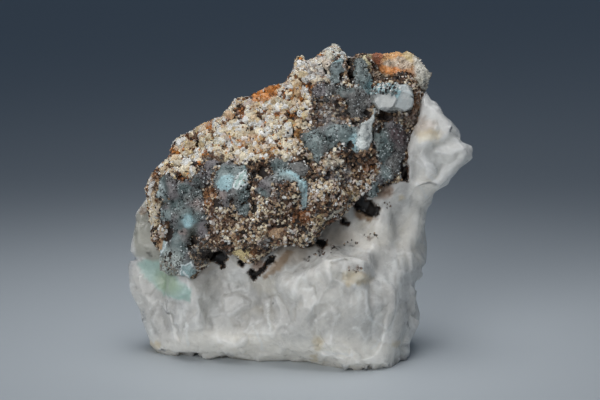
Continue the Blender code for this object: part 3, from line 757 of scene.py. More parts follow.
across, up = as_seen(points)
ragged_across, ragged_up = ragged(points, across, up, 0.8, 40)
in_front = facing(normals)
cloud = clouds(points * (1.0, 1.6, 0.6), 9.0, 50, 4)
streak = clouds(points * (2.2, 1.0, 0.7) + cloud[:, None] * 3, 5.0, 60, 4)
tint = blend_to(all_over(QUARTZ_GREY, points), GLASSY_GREY, np.clip(cloud * 1.4, 0, 0.75))
tint = blend_to(tint, VEIL_WHITE, np.clip(streak * 1.6, 0, 0.8))
for size, seed, strength in CRACKS:
    warped = points + drift(points, size / 2, seed) * size * 0.35
    nearest, second, label = cell_pattern(warped, size, seed)
    tint = blend_to(tint, VEIL_WHITE, np.clip(1 - (second - nearest) * 14, 0, 1) * strength * (cloud > -0.2))
    tint = blend_to(tint, GLASSY_GREY, (label > 0.6) * 0.35)
# Small white dots scattered by noise: partly painted sparkle highlights, partly white flakes in the quartz.
tint = blend_to(tint, VEIL_WHITE, np.clip(soft_noise(points, 0.9, 88) * 3 - 1.9, 0, 0.6))
tint = blend_to(tint, IRON_YELLOW, np.clip(clouds(points, 14, 70, 4) * 1.4 - 0.75, 0, 0.2))
near_base = np.clip(1.3 - points[:, 2] / 1.3, 0, 1) * np.clip(clouds(points, 4.5, 72, 4) * 2 + 0.5, 0, 1)
tint = blend_to(tint, IRON_YELLOW, near_base * 0.55)
print("quartz clouded, front share", round(float((in_front > 0.5).mean()), 2))

# %% [markdown]
# On top of the clouds come the marks that can be pointed at on the real stone: the grey left strip, the
# white veins, the green tongue, and the stains and painted shadows under the crust's lip. The front of the
# right lobe, the foot and a few parts on the right side are painted whiter, as painted light.

# %% Quartz places painted
left = inside_by(LEFT_STRIP, ragged_across, ragged_up)
tint = blend_to(tint, LEFT_GREY, np.clip(left + 0.5, 0, 0.8) * in_front)
# Painted light: the front of the right lobe is painted whiter.
lobe_painted_light = np.clip((ragged_across - 27) / 3, 0, 1) * np.clip((ragged_up + 6) / 6, 0, 1) * in_front
tint = blend_to(tint, VEIL_WHITE, lobe_painted_light * 0.55)
# Painted light: the foot and a few parts on the right side are painted whiter.
tint = paint_spots(tint, PAINTED_LIGHT_PARTS, ragged_across, ragged_up, 0.65)
for start, end in WHITE_VEINS + LOBE_STREAKS:
    close = np.clip(1.2 - line_distance(start, end, ragged_across, ragged_up) / 0.42, 0, 1)
    tint = blend_to(tint, VEIL_WHITE, close * in_front * 0.9)
green = inside_by(GREEN_TONGUE, ragged_across, ragged_up)
mossy = spot_amount((-33, -20.5, 4.5, 5), across, up)
tint = blend_to(tint, MINT, np.clip(green / 0.8 + 0.6, 0, 0.9) * in_front)
tint = blend_to(tint, MOSS, np.clip(green / 0.8, 0, 1) * in_front * mossy * 1.6)
lip_places = ragged(points * 2.0, ragged_across, ragged_up, 0.5, 46)
tint = paint_spots(tint, LIP_SHADOWS, *lip_places, 0.7)
tint = paint_shapes(tint, [(LIP_BROWN, 0.6, outline) for outline in LIP_STAINS], *lip_places, 0.8)
tint = blend_to(tint, IRON_BROWN, np.clip(hollow * 3, 0, 1) * 0.6)
tint = blend_to(tint, CAVITY_BLACK, np.clip(hollow * 2 - 0.6, 0, 1))
tint = paint_spots(tint, BROWN_SPOTS, *ragged(points * 2.4, ragged_across, ragged_up, 0.5, 48), 0.6)
store_tint(quartz, tint)
print("quartz painted, green share", round(float((green > 0).mean()), 3))

# %% [markdown]
# ## The bed of the crust
#
# The crust and its skins are grown together. The solids have hair-thin gaps between them, so the copies
# are grown a little, fused by the remesh into one skin, and drawn back again. Round lumps, grains and
# holes are then pushed into it. The single crystals come later as pieces of their own.
#
# The named holes are the ones that tell this stone from another. Each has its place, its half width and
# half height, and its depth. Small pits lie between them in a loose pattern.

# %% Crust zones
SKIN_NODES = [
    "hemimorphite_left", "hemimorphite_bright", "hemimorphite_fan", "hemimorphite_centre",
    "hemimorphite_top", "hemimorphite_right",
]
CREAM_ZONE = [
    (-45, -1.5), (-38.2, -1.5), (-36.4, -6), (-35.2, -6), (-35.8, 0), (-36.4, 4), (-35.5, 7.5),
    (-33.6, 7), (-32.2, 5.2), (-28, 4.6), (-26.4, 7.2), (-25, 8.8), (-23.5, 10.5), (-20, 11), (-14, 10.3),
    (-8, 10), (-1, 10.3), (1.2, 12.5), (1.8, 18), (2.3, 24), (4.5, 28.5), (7.6, 31), (9, 36), (14, 45),
    (-45, 45),
]
DARK_HOLES = [
    (-14.5, 16.4, 0.7, 0.9, 1.6), (-1.8, 16.6, 0.9, 2, 1.8), (-5.2, 12.8, 0.8, 1, 1.2),
    (-16.6, 22.4, 0.5, 0.9, 0.9), (-25.6, 14, 1, 1.3, 1.1), (-17, 12.2, 1.2, 0.8, 1),
    (-9, 17.2, 0.8, 0.9, 1), (-13.6, 19, 0.8, 1.2, 1), (-31, 8.4, 1.5, 0.6, 0.9),
    (-26.8, 9.2, 1.2, 1.4, 1.1), (-9, 6.4, 1.2, 1.6, 1.6), (-12.6, 3, 0.8, 2.2, 1.2),
    (-11.6, -2.2, 1.2, 1.8, 1.3), (-34.8, -0.8, 0.9, 1.5, 1.2), (-32.5, -7.8, 1.3, 3, 1.6),
    (-20.4, -14.4, 3, 2.4, 1.4), (6.2, 32.2, 1, 1.4, 1.2), (12.8, 31, 1.2, 2.2, 2),
    (12.6, 34.4, 1.1, 1.6, 1.3), (9.6, 28.6, 1, 0.8, 1), (12, 24.2, 0.8, 2.2, 1.1),
    (16.6, 21.6, 1.4, 1.4, 1.2), (14, 19.4, 1.8, 0.5, 0.9), (5, 24.5, 2.2, 0.6, 0.9),
    (21.8, 21, 3.2, 1.6, 2.2), (18.5, 15.6, 0.7, 3.4, 1.2), (26.2, 7, 1.6, 2.4, 1.4),
    (12, 13, 0.8, 0.8, 0.8), (7.4, 6.4, 1.4, 0.8, 0.7), (9.8, 8, 0.8, 1.1, 0.7), (1.8, 10, 1.4, 0.9, 1),
    (-4.6, -6.6, 2.6, 0.6, 0.6), (16.4, 0.4, 2.2, 1.6, 1.2), (-24.2, -14.6, 1.2, 1, 0.9),
    (-31.4, -20, 0.6, 0.6, 0.7),
]
SKIN_GAPS = [
    (-34.8, -0.8, 1, 1.6, 1.2), (-32.6, -7.8, 1.3, 3.4, 1.6), (-26.6, -9.4, 1.6, 2.4, 0.8),
    (-20.8, -0.6, 1.4, 1.8, 0.8), (-22.6, -13.6, 2.4, 1.6, 1), (-27.6, -12, 1.2, 1, 0.8),
    (-9.6, 7.4, 1.4, 1.6, 1.6), (-16.8, 0.2, 1, 1.4, 0.7), (-14, -0.4, 0.5, 0.5, 0.6),
    (0.6, 5.2, 1, 0.6, 0.7), (12.2, 13.8, 1.2, 1, 0.7), (10.4, 31, 0.7, 1, 0.9), (6.6, 29.2, 1.4, 0.8, 1),
    (9.2, 23.6, 1, 1.4, 0.8), (16.6, 22, 1.4, 1.4, 1.2), (13.2, 19.2, 2.4, 0.6, 0.9),
    (23.4, 12.6, 0.8, 1.4, 0.6), (25.6, 8.2, 1.4, 2.6, 1.4), (20.2, 17.6, 0.7, 1.6, 0.9),
    (-29.6, 5.8, 1, 0.8, 0.7), (-25.2, 3, 0.8, 0.8, 0.6), (-31.8, -13.6, 0.9, 1.6, 0.7),
]
PIT_SPACING = 2.3
PIT_DEPTH = 0.8


def named_holes(points, across, up, holes, seed=94):
    """How far in one of the named holes each place lies, from 0 to 1, and how deep it sinks there."""
    dark, sink = np.zeros(len(points)), np.zeros(len(points))
    rough_places = ragged(points * 2.2, across, up, 0.4, seed)
    for *spot, depth in holes:
        amount = np.clip(spot_amount(spot, *rough_places) * 2.5, 0, 1)
        dark, sink = np.maximum(dark, amount), np.maximum(sink, amount * depth)
    return dark, sink


def crust_fields(points, seed=90):
    """What the crust is like at each place: how much in the cream zone, how deep in a hole, how stained."""
    across, up = as_seen(points)
    zone = inside_by(CREAM_ZONE, *ragged(points, across, up, 0.9, seed))
    cream = np.clip(zone / 0.8 + 0.5, 0, 1)
    dark, sink = named_holes(points, across, up, DARK_HOLES + SKIN_GAPS)
    bent = points + clouds(points, 2, seed + 8)[:, None] * 0.6
    seed_away, _, label = cell_pattern(bent, PIT_SPACING, seed + 6)
    chosen = label > 0.45
    pit = np.clip((0.31 - seed_away) / 0.09, 0, 1) * chosen
    halo = np.clip((0.52 - seed_away) / 0.16, 0, 1) * chosen
    return across, up, cream, np.maximum(sink, pit * PIT_DEPTH), np.maximum(dark, pit), halo


print(len(DARK_HOLES), "named holes in the crust")

# %% [markdown]
# The bed is built from domes on cells of three sizes. The cream part gets tall lumps with grains on them,
# and the lower part finer and flatter ones. Its back is left plain and reaches into the quartz.

# %% Crust bed shape
BED_NET = 0.33
CLOSING = 0.45
SEAT_OVERLAP = 1.1
LUMP, GRAIN, FINE_GRAIN = 2.5, 1.15, 0.7

bed = copy_of_solids("crust_bed", ["druse_crust", *SKIN_NODES], grow=CLOSING)
fine_net(bed, BED_NET)
points, normals = points_of(bed), normals_of(bed)
seated = np.clip(normals[:, 1] * 3, 0, 1)
points -= normals * (CLOSING - seated * SEAT_OVERLAP)[:, None]
move_points(bed, points)
finish_with(bed, "SMOOTH", factor=0.5, iterations=2)
points, normals = points_of(bed), normals_of(bed)
across, up, cream, sink, dark, halo = crust_fields(points)
lump_height = dome(cell_pattern(points + clouds(points, 3, 7)[:, None] * 0.8, LUMP, 11)[0])
grain_height = dome(cell_pattern(points, GRAIN, 21)[0])
fine_grain, _, fine_label = cell_pattern(points, FINE_GRAIN, 31)
fine_height = dome(fine_grain)
lift = (cream * (lump_height * 1.2 + grain_height * 0.45 - 1.35)
        + (1 - cream) * (lump_height * 0.45 + fine_height * 0.45 - 0.65)
        + clouds(points, 5, 17) * 0.35 - sink)
front = np.clip(1 - normals[:, 1] * 2.5, 0, 1)
points = fit_outline(points + normals * (lift * front)[:, None], normals, 0.6)
move_points(bed, points)
print("crust bed:", len(points), "vertices")

# %% [markdown]
# The bed shows between the crystals. In the upper, cream part it is light on the tops of its lumps and rusty
# and darker between them, partly rust and partly painted shade. In the lower part it is dark, nearly black
# in the holes and blacker low between its fine grains as painted shade, with tan and cream crumbs.

# %% Crust palette and places
CREAM = paint(168, 150, 124)
BRIGHT_CREAM = paint(183, 173, 152)
SUGAR_WHITE = paint(181, 180, 176)
RUST = paint(122, 78, 42)
DARK_RUST = paint(78, 50, 32)
GAP_BROWN = paint(72, 55, 43)
GAP_BLACK = paint(32, 27, 25)
TAN = paint(142, 118, 92)
OLIVE = paint(128, 121, 88)
PALE_YELLOW = paint(170, 152, 116)
ORANGE = paint(172, 110, 50)
CRUST_SPOTS = [
    (ORANGE, -8, 27, 3.4, 2.2), (ORANGE, -10.4, 25.4, 2.2, 1.4), (ORANGE, -6.4, 28.2, 1.8, 1.4),
    (RUST, -14.4, 21.6, 1.2, 1.6), (RUST, -11.4, 23, 0.9, 1.2), (RUST, -8.1, 22, 1, 1.8),
    (RUST, -4.8, 21.2, 1.8, 1.2), (RUST, -19, 19, 1, 1.2), (ORANGE, -18, 21, 1, 1.2),
    (ORANGE, -22.8, 18.2, 1.6, 1.4), (ORANGE, -14.3, 14.6, 1.2, 1.2), (ORANGE, -11.6, 15, 2.6, 1.1),
    (RUST, -36.2, 5.4, 1.2, 1.2), (ORANGE, -35.4, 8.6, 0.8, 0.9), (ORANGE, -31.6, 12.6, 1.6, 1),
    (OLIVE, -21.8, 15, 3.6, 1.2), (OLIVE, -25, 14, 1.2, 1.2), (PALE_YELLOW, 1.6, 35.2, 1.8, 0.8),
    (RUST, 6.6, 33.8, 1.6, 2.2), (TAN, -33.5, 0.2, 1.4, 3), (paint(160, 122, 76), -0.8, 26.5, 2, 4.5),
    (paint(160, 122, 76), -0.2, 16, 1.8, 5), (paint(160, 128, 88), -8.5, 12.5, 5, 1.6),
    (paint(150, 104, 66), -22.4, 0.8, 2.2, 2.6), (DARK_RUST, -21.2, -4.6, 1.8, 4),
    (paint(140, 88, 52), 1, -3.2, 1.8, 2.6), (RUST, -0.6, -4.6, 2, 1.6), (DARK_RUST, -5.2, -7, 3.4, 1.2),
    (TAN, -6, -8.6, 2.8, 1.4), (PALE_YELLOW, -14.8, -13.6, 3.4, 1.6), (RUST, -11.8, -13.2, 1.4, 1.4),
    (ORANGE, -34.4, -11.2, 1.1, 1.9), (TAN, -36.4, 0.6, 1, 3.6), (BRIGHT_CREAM, -36.2, -1.8, 1.2, 2.4),
    (PALE_YELLOW, -35.2, -5.4, 0.9, 1.6), (DARK_RUST, 9, 24.8, 3.2, 1.6), (DARK_RUST, 13, 30.8, 1.4, 2.2),
    (DARK_RUST, 21.8, 20.6, 3.6, 1.6), (ORANGE, 28.8, 24, 1, 1.8), (PALE_YELLOW, 13, 1.4, 1.8, 1.8),
    (PALE_YELLOW, 5, -5, 1.8, 2), (RUST, 17, 8, 2, 2.4), (SUGAR_WHITE, 8.4, 9, 2.6, 2.2),
    (SUGAR_WHITE, -6.6, 1.4, 1.2, 1.4), (SUGAR_WHITE, 11.4, 7.4, 1.4, 1.8),
    (SUGAR_WHITE, -9.2, -10.6, 1.6, 1.8), (GAP_BLACK, 9, 6.6, 3.4, 1.8), (BRIGHT_CREAM, 8.4, 9.4, 3, 1.8),
    (BRIGHT_CREAM, -14.6, 11.5, 1.4, 1.4), (BRIGHT_CREAM, -19, 11.2, 1.6, 1.6),
    (paint(178, 188, 190), 9, 37.6, 3.4, 3.4), (SUGAR_WHITE, 4, 33, 5, 4),
]
DRUSE_SPOTS = [
    # The first three spots: pale grey-teal at the lower left, its own colour painted lighter as painted light
    # against the shade there.
    (paint(142, 147, 143), -33.5, -14.5, 5, 4.5), (paint(140, 149, 144), -34.5, -17, 4.5, 4),
    (paint(138, 145, 141), -30, -19.5, 4, 3), (paint(70, 70, 68), -25, -13, 5, 4),
    (paint(84, 84, 84), -22.5, 9, 4, 2), (paint(84, 86, 86), -30, 3.5, 6, 3),
    (paint(30, 28, 28), -24, -13, 3, 2), (paint(120, 118, 116), 4, 31, 5, 4),
    (paint(104, 106, 106), 5.5, 26.5, 5, 3), (paint(110, 106, 104), 8, 21, 5, 3.5),
    (paint(48, 48, 54), 7.4, 6, 1.8, 1.4), (paint(48, 48, 54), 11.2, 4.8, 1.6, 1.2),
    (paint(70, 58, 48), 19, 31, 3, 2), (paint(150, 140, 126), 21.5, 31.4, 3.5, 1.2),
    (paint(112, 82, 58), 28.8, 24, 2.4, 4), (paint(60, 50, 42), 22, 20.8, 5, 2.6),
    (paint(104, 94, 88), 28, 20, 2.4, 3), (paint(96, 90, 86), 17, 20.6, 3, 3),
]
SMOOTH_PATCHES = [
    (paint(176, 160, 118), 0.4, [(-17.2, -12.8), (-15.5, -12), (-13, -12.2), (-12.2, -13.8),
        (-13.2, -15.2), (-15.5, -15), (-17, -14)]),
    (paint(146, 120, 94), 0.4, [(-8.2, -8.2), (-7, -7), (-5, -6.5), (-3.5, -7), (-3.8, -8.4),
        (-5.2, -9.6), (-7.5, -10)]),
    (paint(96, 60, 44), 0.3, [(-8.6, -8.4), (-7.2, -6.6), (-4.6, -5.8), (-2.4, -6.4), (-2.6, -7),
        (-4.8, -6.6), (-6.8, -7.2), (-8, -8.4)]),
    (paint(158, 142, 120), 0.4, [(-5.5, 5.5), (-3.5, 6), (-1.5, 5), (0, 3), (0.5, 0.5), (-0.5, 0),
        (-1, 2.5), (-2.5, 4), (-4.5, 3.5), (-5.5, 3.8)]),
    (paint(166, 160, 146), 0.3, [(14, 2.6), (12, 0.4), (11.2, -1.2), (8.8, -2.2), (7, -4), (5.4, -5.4),
        (5, -6.8), (3, -7.6), (1.2, -8.2), (1.2, -8.9), (3.4, -8.4), (5.6, -7.4), (6.4, -5.6),
        (9.4, -3.2), (12, -1.8), (13, 0), (14.4, 1.6)]),
]
print(len(CRUST_SPOTS) + len(DRUSE_SPOTS), "stains on the crust")

# %% [markdown]
# The colours follow the relief just made: tops are light and gaps are dark, partly rust and partly painted
# shade. So the heights of the lumps and grains serve again, as weights between the colours.

# %% Crust bed colours
normals = normals_of(bed)
ragged_across, ragged_up = ragged(points * 1.6, across, up, 0.5, 44)
high = np.clip(lump_height * 1.6 - 0.85 + clouds(points, 2.0, 61) * 0.5, 0, 1)
tops = np.clip(grain_height * 1.6 - 0.5, 0, 1)
cream_tint = cloud_in(all_over(RUST, points), points,
                      (GAP_BROWN, 4.5, 71, -1.4, 0.75, 1), (GAP_BLACK, 1.6, 69, 2.2, -0.4, 0.9))
clean = cloud_in(all_over(CREAM, points), points, (BRIGHT_CREAM, 3.2, 63, 1.6, 0.3, 1),
                 (SUGAR_WHITE, 4.2, 65, 2.2, -0.3, 0.9), (PALE_YELLOW, 4.8, 67, 2.2, -0.5, 0.7))
# Painted shade and rust: the bed stays rusty and dark low between the lumps and turns light on their tops.
cream_tint = blend_to(cream_tint, clean, high * (0.55 + tops * 0.45))
cream_tint *= (1 + soft_noise(points, 0.45, 68) * 0.2)[:, None]
crumb = np.clip(fine_height * 2 - 0.9, 0, 1)
# Painted shade: the lower bed is black low between its fine grains and browner on them.
dark_tint = blend_to(all_over(GAP_BLACK, points), GAP_BROWN, np.clip(fine_height * 1.4 - 0.3, 0, 1))
dark_tint = blend_to(dark_tint, TAN, crumb * (fine_label > 0.45))
dark_tint = blend_to(dark_tint, BRIGHT_CREAM, crumb * (fine_label > 0.80) * 0.8)
tint = blend_to(dark_tint, cream_tint, cream)
tint = blend_to(tint, DARK_RUST, halo * 0.7)
tint = paint_spots(tint, CRUST_SPOTS, ragged_across, ragged_up, 0.5)
tint = paint_shapes(tint, SMOOTH_PATCHES, ragged_across, ragged_up, 0.9)
tint = blend_to(tint, GAP_BLACK, np.clip(dark * 1.2, 0, 0.95))
store_tint(bed, tint)
print("cream share of the bed", round(float(cream.mean()), 2))

# %% [markdown]
# ## Skins of hemimorphite
#
# Hemimorphite coats the crust as a film of tiny needles that swells into soft grape-like lumps. Each skin
# is lifted off the bed: the faces inside its ragged outline are copied, raised in the middle and dipped
# at the border, and Solidify gives the sheet its thickness, so it follows every hollow beneath it.

# %% Skin outlines
SKIN_OUTLINES = {
    "left": [
        (-35.8, 4.5), (-35, 6), (-32.5, 7), (-30.8, 5), (-27.5, 5.5), (-25.8, 7.5), (-24, 10),
        (-21.5, 10.5), (-19.8, 9.8), (-21, 7), (-22.5, 5), (-23.2, 3.2), (-24.2, 2), (-24, 0),
        (-23.2, -1.5), (-23.5, -3), (-23, -5.5), (-22.5, -8), (-23.2, -10), (-25, -10.8), (-26, -12.5),
        (-27.5, -13.8), (-25.8, -15.5), (-25.8, -18), (-27, -21), (-29, -21.5), (-30, -19.5), (-31, -18),
        (-33.5, -15.5), (-35.5, -13), (-36, -10.5), (-34.2, -9.5), (-33.2, -8), (-34.2, -5.5), (-35, -3),
        (-35, -1), (-35.8, 1)],
    "bright": [
        (-20.5, 9.2), (-17.5, 10), (-15.5, 9), (-13.5, 9), (-12.5, 7.5), (-12.8, 4.5), (-12, 2.5),
        (-12.5, 0), (-12, -2), (-13, -4.2), (-15.5, -4.5), (-17, -2), (-18.8, -3), (-20.2, -1.2),
        (-20.8, 1), (-21.8, 3), (-23, 4), (-21.5, 6.5)],
    "fan": [
        (-8, 10), (-5.5, 10.5), (-2, 10), (0, 9.5), (2.5, 8.8), (3, 7), (1.4, 5.6), (2.6, 2.5), (2.4, 0),
        (1.4, -2.6), (-0.8, -3), (-0.2, 0), (-0.6, 2.4), (-2, 3.8), (-3.8, 4.2), (-6, 3.6), (-7.5, 0),
        (-10, 0.5), (-11.2, 2), (-11, 4), (-9.5, 5), (-7.5, 6.5)],
    "centre": [
        (0.8, 17.5), (2.5, 18.2), (5, 18.8), (8.2, 19.5), (11.2, 19.5), (14, 18.6), (17.2, 20.5),
        (18.6, 24.4), (19.8, 24), (19.2, 20.5), (18.4, 17), (18.2, 13.5), (16.5, 12.4), (14, 11.8),
        (11.5, 12.5), (9.5, 13), (6.5, 12), (5.5, 10), (5, 8), (2.8, 8.5), (2.8, 11.2), (1, 12.5),
        (0.2, 15)],
    "top": [
        (7.5, 35), (9.5, 36), (11.2, 35), (11.8, 33), (11.5, 30.5), (10, 29), (12.5, 28.8), (13.8, 29),
        (12.8, 31.2), (13, 34.5), (14.5, 36.2), (16.5, 36.2), (17.8, 33.5), (18.2, 30), (18, 27),
        (19.5, 25.5), (18, 24), (18, 21), (15.5, 19.8), (12.5, 20.4), (11.5, 22), (11, 25), (8.8, 26),
        (7, 25.5), (4.5, 25), (2.5, 25.5), (2.8, 28), (4.5, 29.5), (7, 29), (7.8, 31), (7.2, 33)],
    "right": [
        (19, 19), (21, 20), (24, 20), (26.5, 19), (27.5, 16.2), (27.5, 13.8), (26.8, 12), (26.8, 10),
        (25, 7), (23.5, 5), (21, 4), (19.5, 3.5), (19.8, 1), (18.8, -0.2), (16.5, 0), (16, 2.5),
        (17.5, 5), (19.5, 7), (18.8, 10), (18.5, 13.8), (18.2, 16.2)],
}
print("skins to lift:", ", ".join(SKIN_OUTLINES))

# %% [markdown]
# The skins are grey and teal, with cyan where they are thick. Soft spots give the large changes of colour,
# closed shapes the patches with a clear border, and thin white lines the crystals seen edge on.

# %% Skin palette and places
SKIN_GREY = paint(88, 88, 86)
VIOLET_GREY = paint(98, 93, 94)
SKIN_TEAL = paint(82, 93, 92)
PALE_TEAL = paint(106, 116, 115)
CYAN = paint(116, 142, 146)
PALE_CYAN = paint(138, 165, 169)
BRIGHT_WHITE = paint(190, 197, 197)
MUD = paint(58, 60, 54)
PINK_GREY = paint(124, 114, 110)
PURPLE_BROWN = paint(82, 70, 71)
SKIN_SPOTS = [
    (VIOLET_GREY, -21.5, 8, 6, 3.4), (VIOLET_GREY, -29, 3.5, 4, 3), (PINK_GREY, -24.6, -1.6, 3, 2.2),
    (SKIN_TEAL, -34.4, 2.8, 2, 3.8), (PALE_TEAL, -34.4, 1.6, 1.2, 2.2),
    (SKIN_TEAL, -30.4, -1.2, 2.6, 2.4), (SKIN_TEAL, -28.8, 2.6, 3, 2.2), (PALE_TEAL, -33.5, -3.8, 2.4, 2),
    (SKIN_TEAL, -27.4, -4.4, 4.2, 3.4), (CYAN, -27.8, -5.2, 2, 1.9), (PALE_CYAN, -28, -6, 1.2, 0.9),
    (PINK_GREY, -29, -7.8, 1.4, 1.2), (PALE_TEAL, -31, -9.2, 1.8, 1.6), (MUD, -26.4, -9.2, 2.4, 3.4),
    (VIOLET_GREY, -23.8, -7.2, 2.2, 3.4), (PALE_TEAL, -34.2, -12.6, 2.8, 2.8),
    (BRIGHT_WHITE, -34, -9.8, 0.6, 2.6), (SKIN_TEAL, -30, -12.5, 2.4, 3.4),
    (PALE_TEAL, -28, -18.6, 2.8, 4), (CYAN, -28.6, -18.8, 1.6, 2.4),
    (BRIGHT_WHITE, -27.8, -16.4, 1.2, 0.7), (SKIN_GREY, -24.8, -12.4, 3.8, 2.6),
    # The first spot here: pale grey-teal at the lower left, its own colour painted lighter as painted light
    # against the shade there.
    (paint(150, 156, 152), -32.2, -15.4, 3.6, 4.4), (paint(146, 156, 155), -34.6, 2.4, 1.6, 2.6),
    (SKIN_TEAL, -18.8, 7, 4.4, 2.2), (PALE_TEAL, -18.8, 4.6, 3.6, 3.2), (PALE_TEAL, -14.6, 5.6, 2.6, 3.6),
    (CYAN, -13.4, 8.2, 0.9, 1), (VIOLET_GREY, -21.6, 0.6, 2.4, 2.4), (SKIN_TEAL, -14, 1.4, 2.4, 2.4),
    (PALE_TEAL, -13.8, -2.2, 2.4, 3), (PINK_GREY, -20, 1.6, 2.4, 2.2), (SKIN_GREY, -16.6, 0.4, 1.8, 2.6),
    (VIOLET_GREY, -18.4, -2.2, 1.8, 1.6), (SKIN_TEAL, -5, 8.4, 4.8, 2), (SKIN_GREY, -0.6, 7.8, 3.4, 2.4),
    (PALE_TEAL, -3.8, 6, 3.2, 1.8), (VIOLET_GREY, -9.6, 2.6, 2.4, 2.8), (SKIN_TEAL, -9.4, 1.8, 1.8, 1.6),
    (PALE_TEAL, 0.6, -1.6, 1.2, 1.4), (SKIN_TEAL, 3.2, 14.6, 3.4, 4.4), (PALE_TEAL, 3.4, 15, 1.8, 2.8),
    (SKIN_TEAL, 9.6, 15.4, 5.2, 3.4), (PALE_TEAL, 9, 17.2, 3.2, 1.6), (CYAN, 13.8, 14.2, 2.2, 2.8),
    (PALE_TEAL, 12.6, 17.6, 2.4, 1.8), (PALE_TEAL, 4.2, 11, 1.8, 2.6), (BRIGHT_WHITE, 3.6, 19.8, 1.2, 1),
    (paint(104, 114, 114), 9.6, 32.4, 2.6, 4), (PALE_TEAL, 8.6, 30.4, 1.6, 2), (CYAN, 9, 36, 2.6, 2.2),
    (paint(98, 106, 105), 15.2, 32.4, 2.8, 4.6), (PALE_TEAL, 16.4, 29, 2.6, 3),
    (CYAN, 17.4, 28.4, 1.8, 2.6), (SKIN_GREY, 14.4, 23.8, 3.6, 4.4), (VIOLET_GREY, 5.2, 27.2, 4, 2.6),
    (SKIN_GREY, 8, 27.6, 2.4, 2), (SKIN_TEAL, 21, 12.4, 2.2, 6.4), (PURPLE_BROWN, 24.6, 16.2, 3, 3.8),
    (VIOLET_GREY, 23.8, 19.2, 3, 1.8), (SKIN_GREY, 23.4, 8.8, 3, 3.4), (PALE_TEAL, 21.4, 6.6, 2, 2.4),
    (PALE_TEAL, 18.6, 2.4, 1.8, 3), (BRIGHT_WHITE, 17.6, 0.4, 1.6, 0.8),
]
SKIN_SHAPES = [
    (paint(186, 176, 142), 0.3, [(14.5, 36.5), (16.5, 37.2), (17.6, 36), (18.2, 34), (19.2, 32),
        (18.6, 31.2), (17.4, 31.8), (16.6, 33.6), (15.6, 35.4)]),
    (PALE_CYAN, 0.5, [(-20.5, 3.75), (-20, 5), (-19, 6), (-17.5, 6.25), (-16.5, 5.75), (-17, 4.25),
        (-17.25, 3), (-18, 2.25), (-19.5, 2.25), (-20.75, 3.25)]),
    (paint(140, 160, 155), 0.2, [(-16.75, 3.5), (-16, 5), (-15.25, 6.25), (-14.25, 7.25), (-13.5, 7.25),
        (-13, 6), (-13.5, 4.5), (-14.5, 3.5), (-15.5, 2.5), (-16.5, 2.75)]),
    (paint(124, 142, 143), 0.4, [(-5.25, 7.6), (-2.5, 7.4), (-0.4, 6.2), (1, 4.4), (2, 2), (2, 0),
        (1.2, -2.4), (0, -1.8), (0.2, 0.25), (0.1, 1.75), (-0.6, 3.4), (-1.8, 4.75), (-3, 5.75), (-5, 6)]),
    (PALE_CYAN, 0.2, [(-3.2, 7.4), (-1.6, 6.8), (0.2, 5.5), (1.5, 3.4), (1.9, 1.4), (1.7, 0.2),
        (1.3, 1.6), (0.7, 3.4), (-0.4, 4.8), (-1.8, 6), (-3.2, 6.6)]),
    (paint(172, 176, 173), 0.4, [(17.8, 25.5), (19.5, 25), (19, 22), (18.6, 19.5), (18.6, 15), (18, 12.4),
        (15.5, 12), (14, 13.5), (14.4, 16.5), (15.2, 18.8), (16, 20.5), (17.4, 22.5)]),
    (paint(136, 152, 152), 0.4, [(-37.5, -9), (-35, -8.2), (-33.2, -9.5), (-32.8, -12.2), (-34.4, -14),
        (-36, -13)]),
    (paint(156, 122, 86), 0.3, [(-36.4, -9.8), (-34.8, -9.4), (-33.9, -10.8), (-34, -12.4), (-35, -12.6)]),
    (paint(126, 146, 146), 0.4, [(-29.8, -16), (-27.4, -15.6), (-26, -17.5), (-26.8, -21), (-28.8, -21.6),
        (-29.6, -19)]),
]
SKIN_LINES = [
    [(-16.7, 3.2), (-15.8, 6), (-13.4, 7.4), (-12.9, 6.2), (-13.6, 4), (-15.4, 2.6), (-16.7, 3.2)],
    [(-15.6, 3.2), (-13.6, 6.2)],
    [(-29.6, -16), (-27.2, -15.4), (-26, -17.5), (-26.8, -21.4), (-28.8, -21.8), (-29.8, -19),
     (-29.6, -16)],
    [(-29, -17.5), (-27.2, -20)],
    [(-36.8, -10), (-35.4, -13.2), (-34, -13), (-33, -10.8), (-33.6, -9)],
    [(15.8, 0), (17, -0.6), (18.4, 0.2)],
]
print(len(SKIN_SPOTS), "spots,", len(SKIN_SHAPES), "shapes and", len(SKIN_LINES), "lines on the skins")


# %% [markdown]
# A skin's rim is torn and eaten away. Its outline is bent at two sizes, and holes and the named gaps are
# cut from it. One function mixes the colours of all six skins, since they have the same look.

# %% Skin border and colours
def skin_inside(points, across, up, outline):
    """How far inside a skin's ragged outline each point lies, with a few holes torn in it."""
    places = ragged(points * 2.8, *ragged(points, across, up, 0.8, 120), 0.35, 128)
    holes = np.clip(clouds(points, 1.7, 171) * 3.2 - 1.7, 0, 1.5)
    gaps, _ = named_holes(points, across, up, SKIN_GAPS)
    return inside_by(outline, *places) - holes - gaps * 2.5


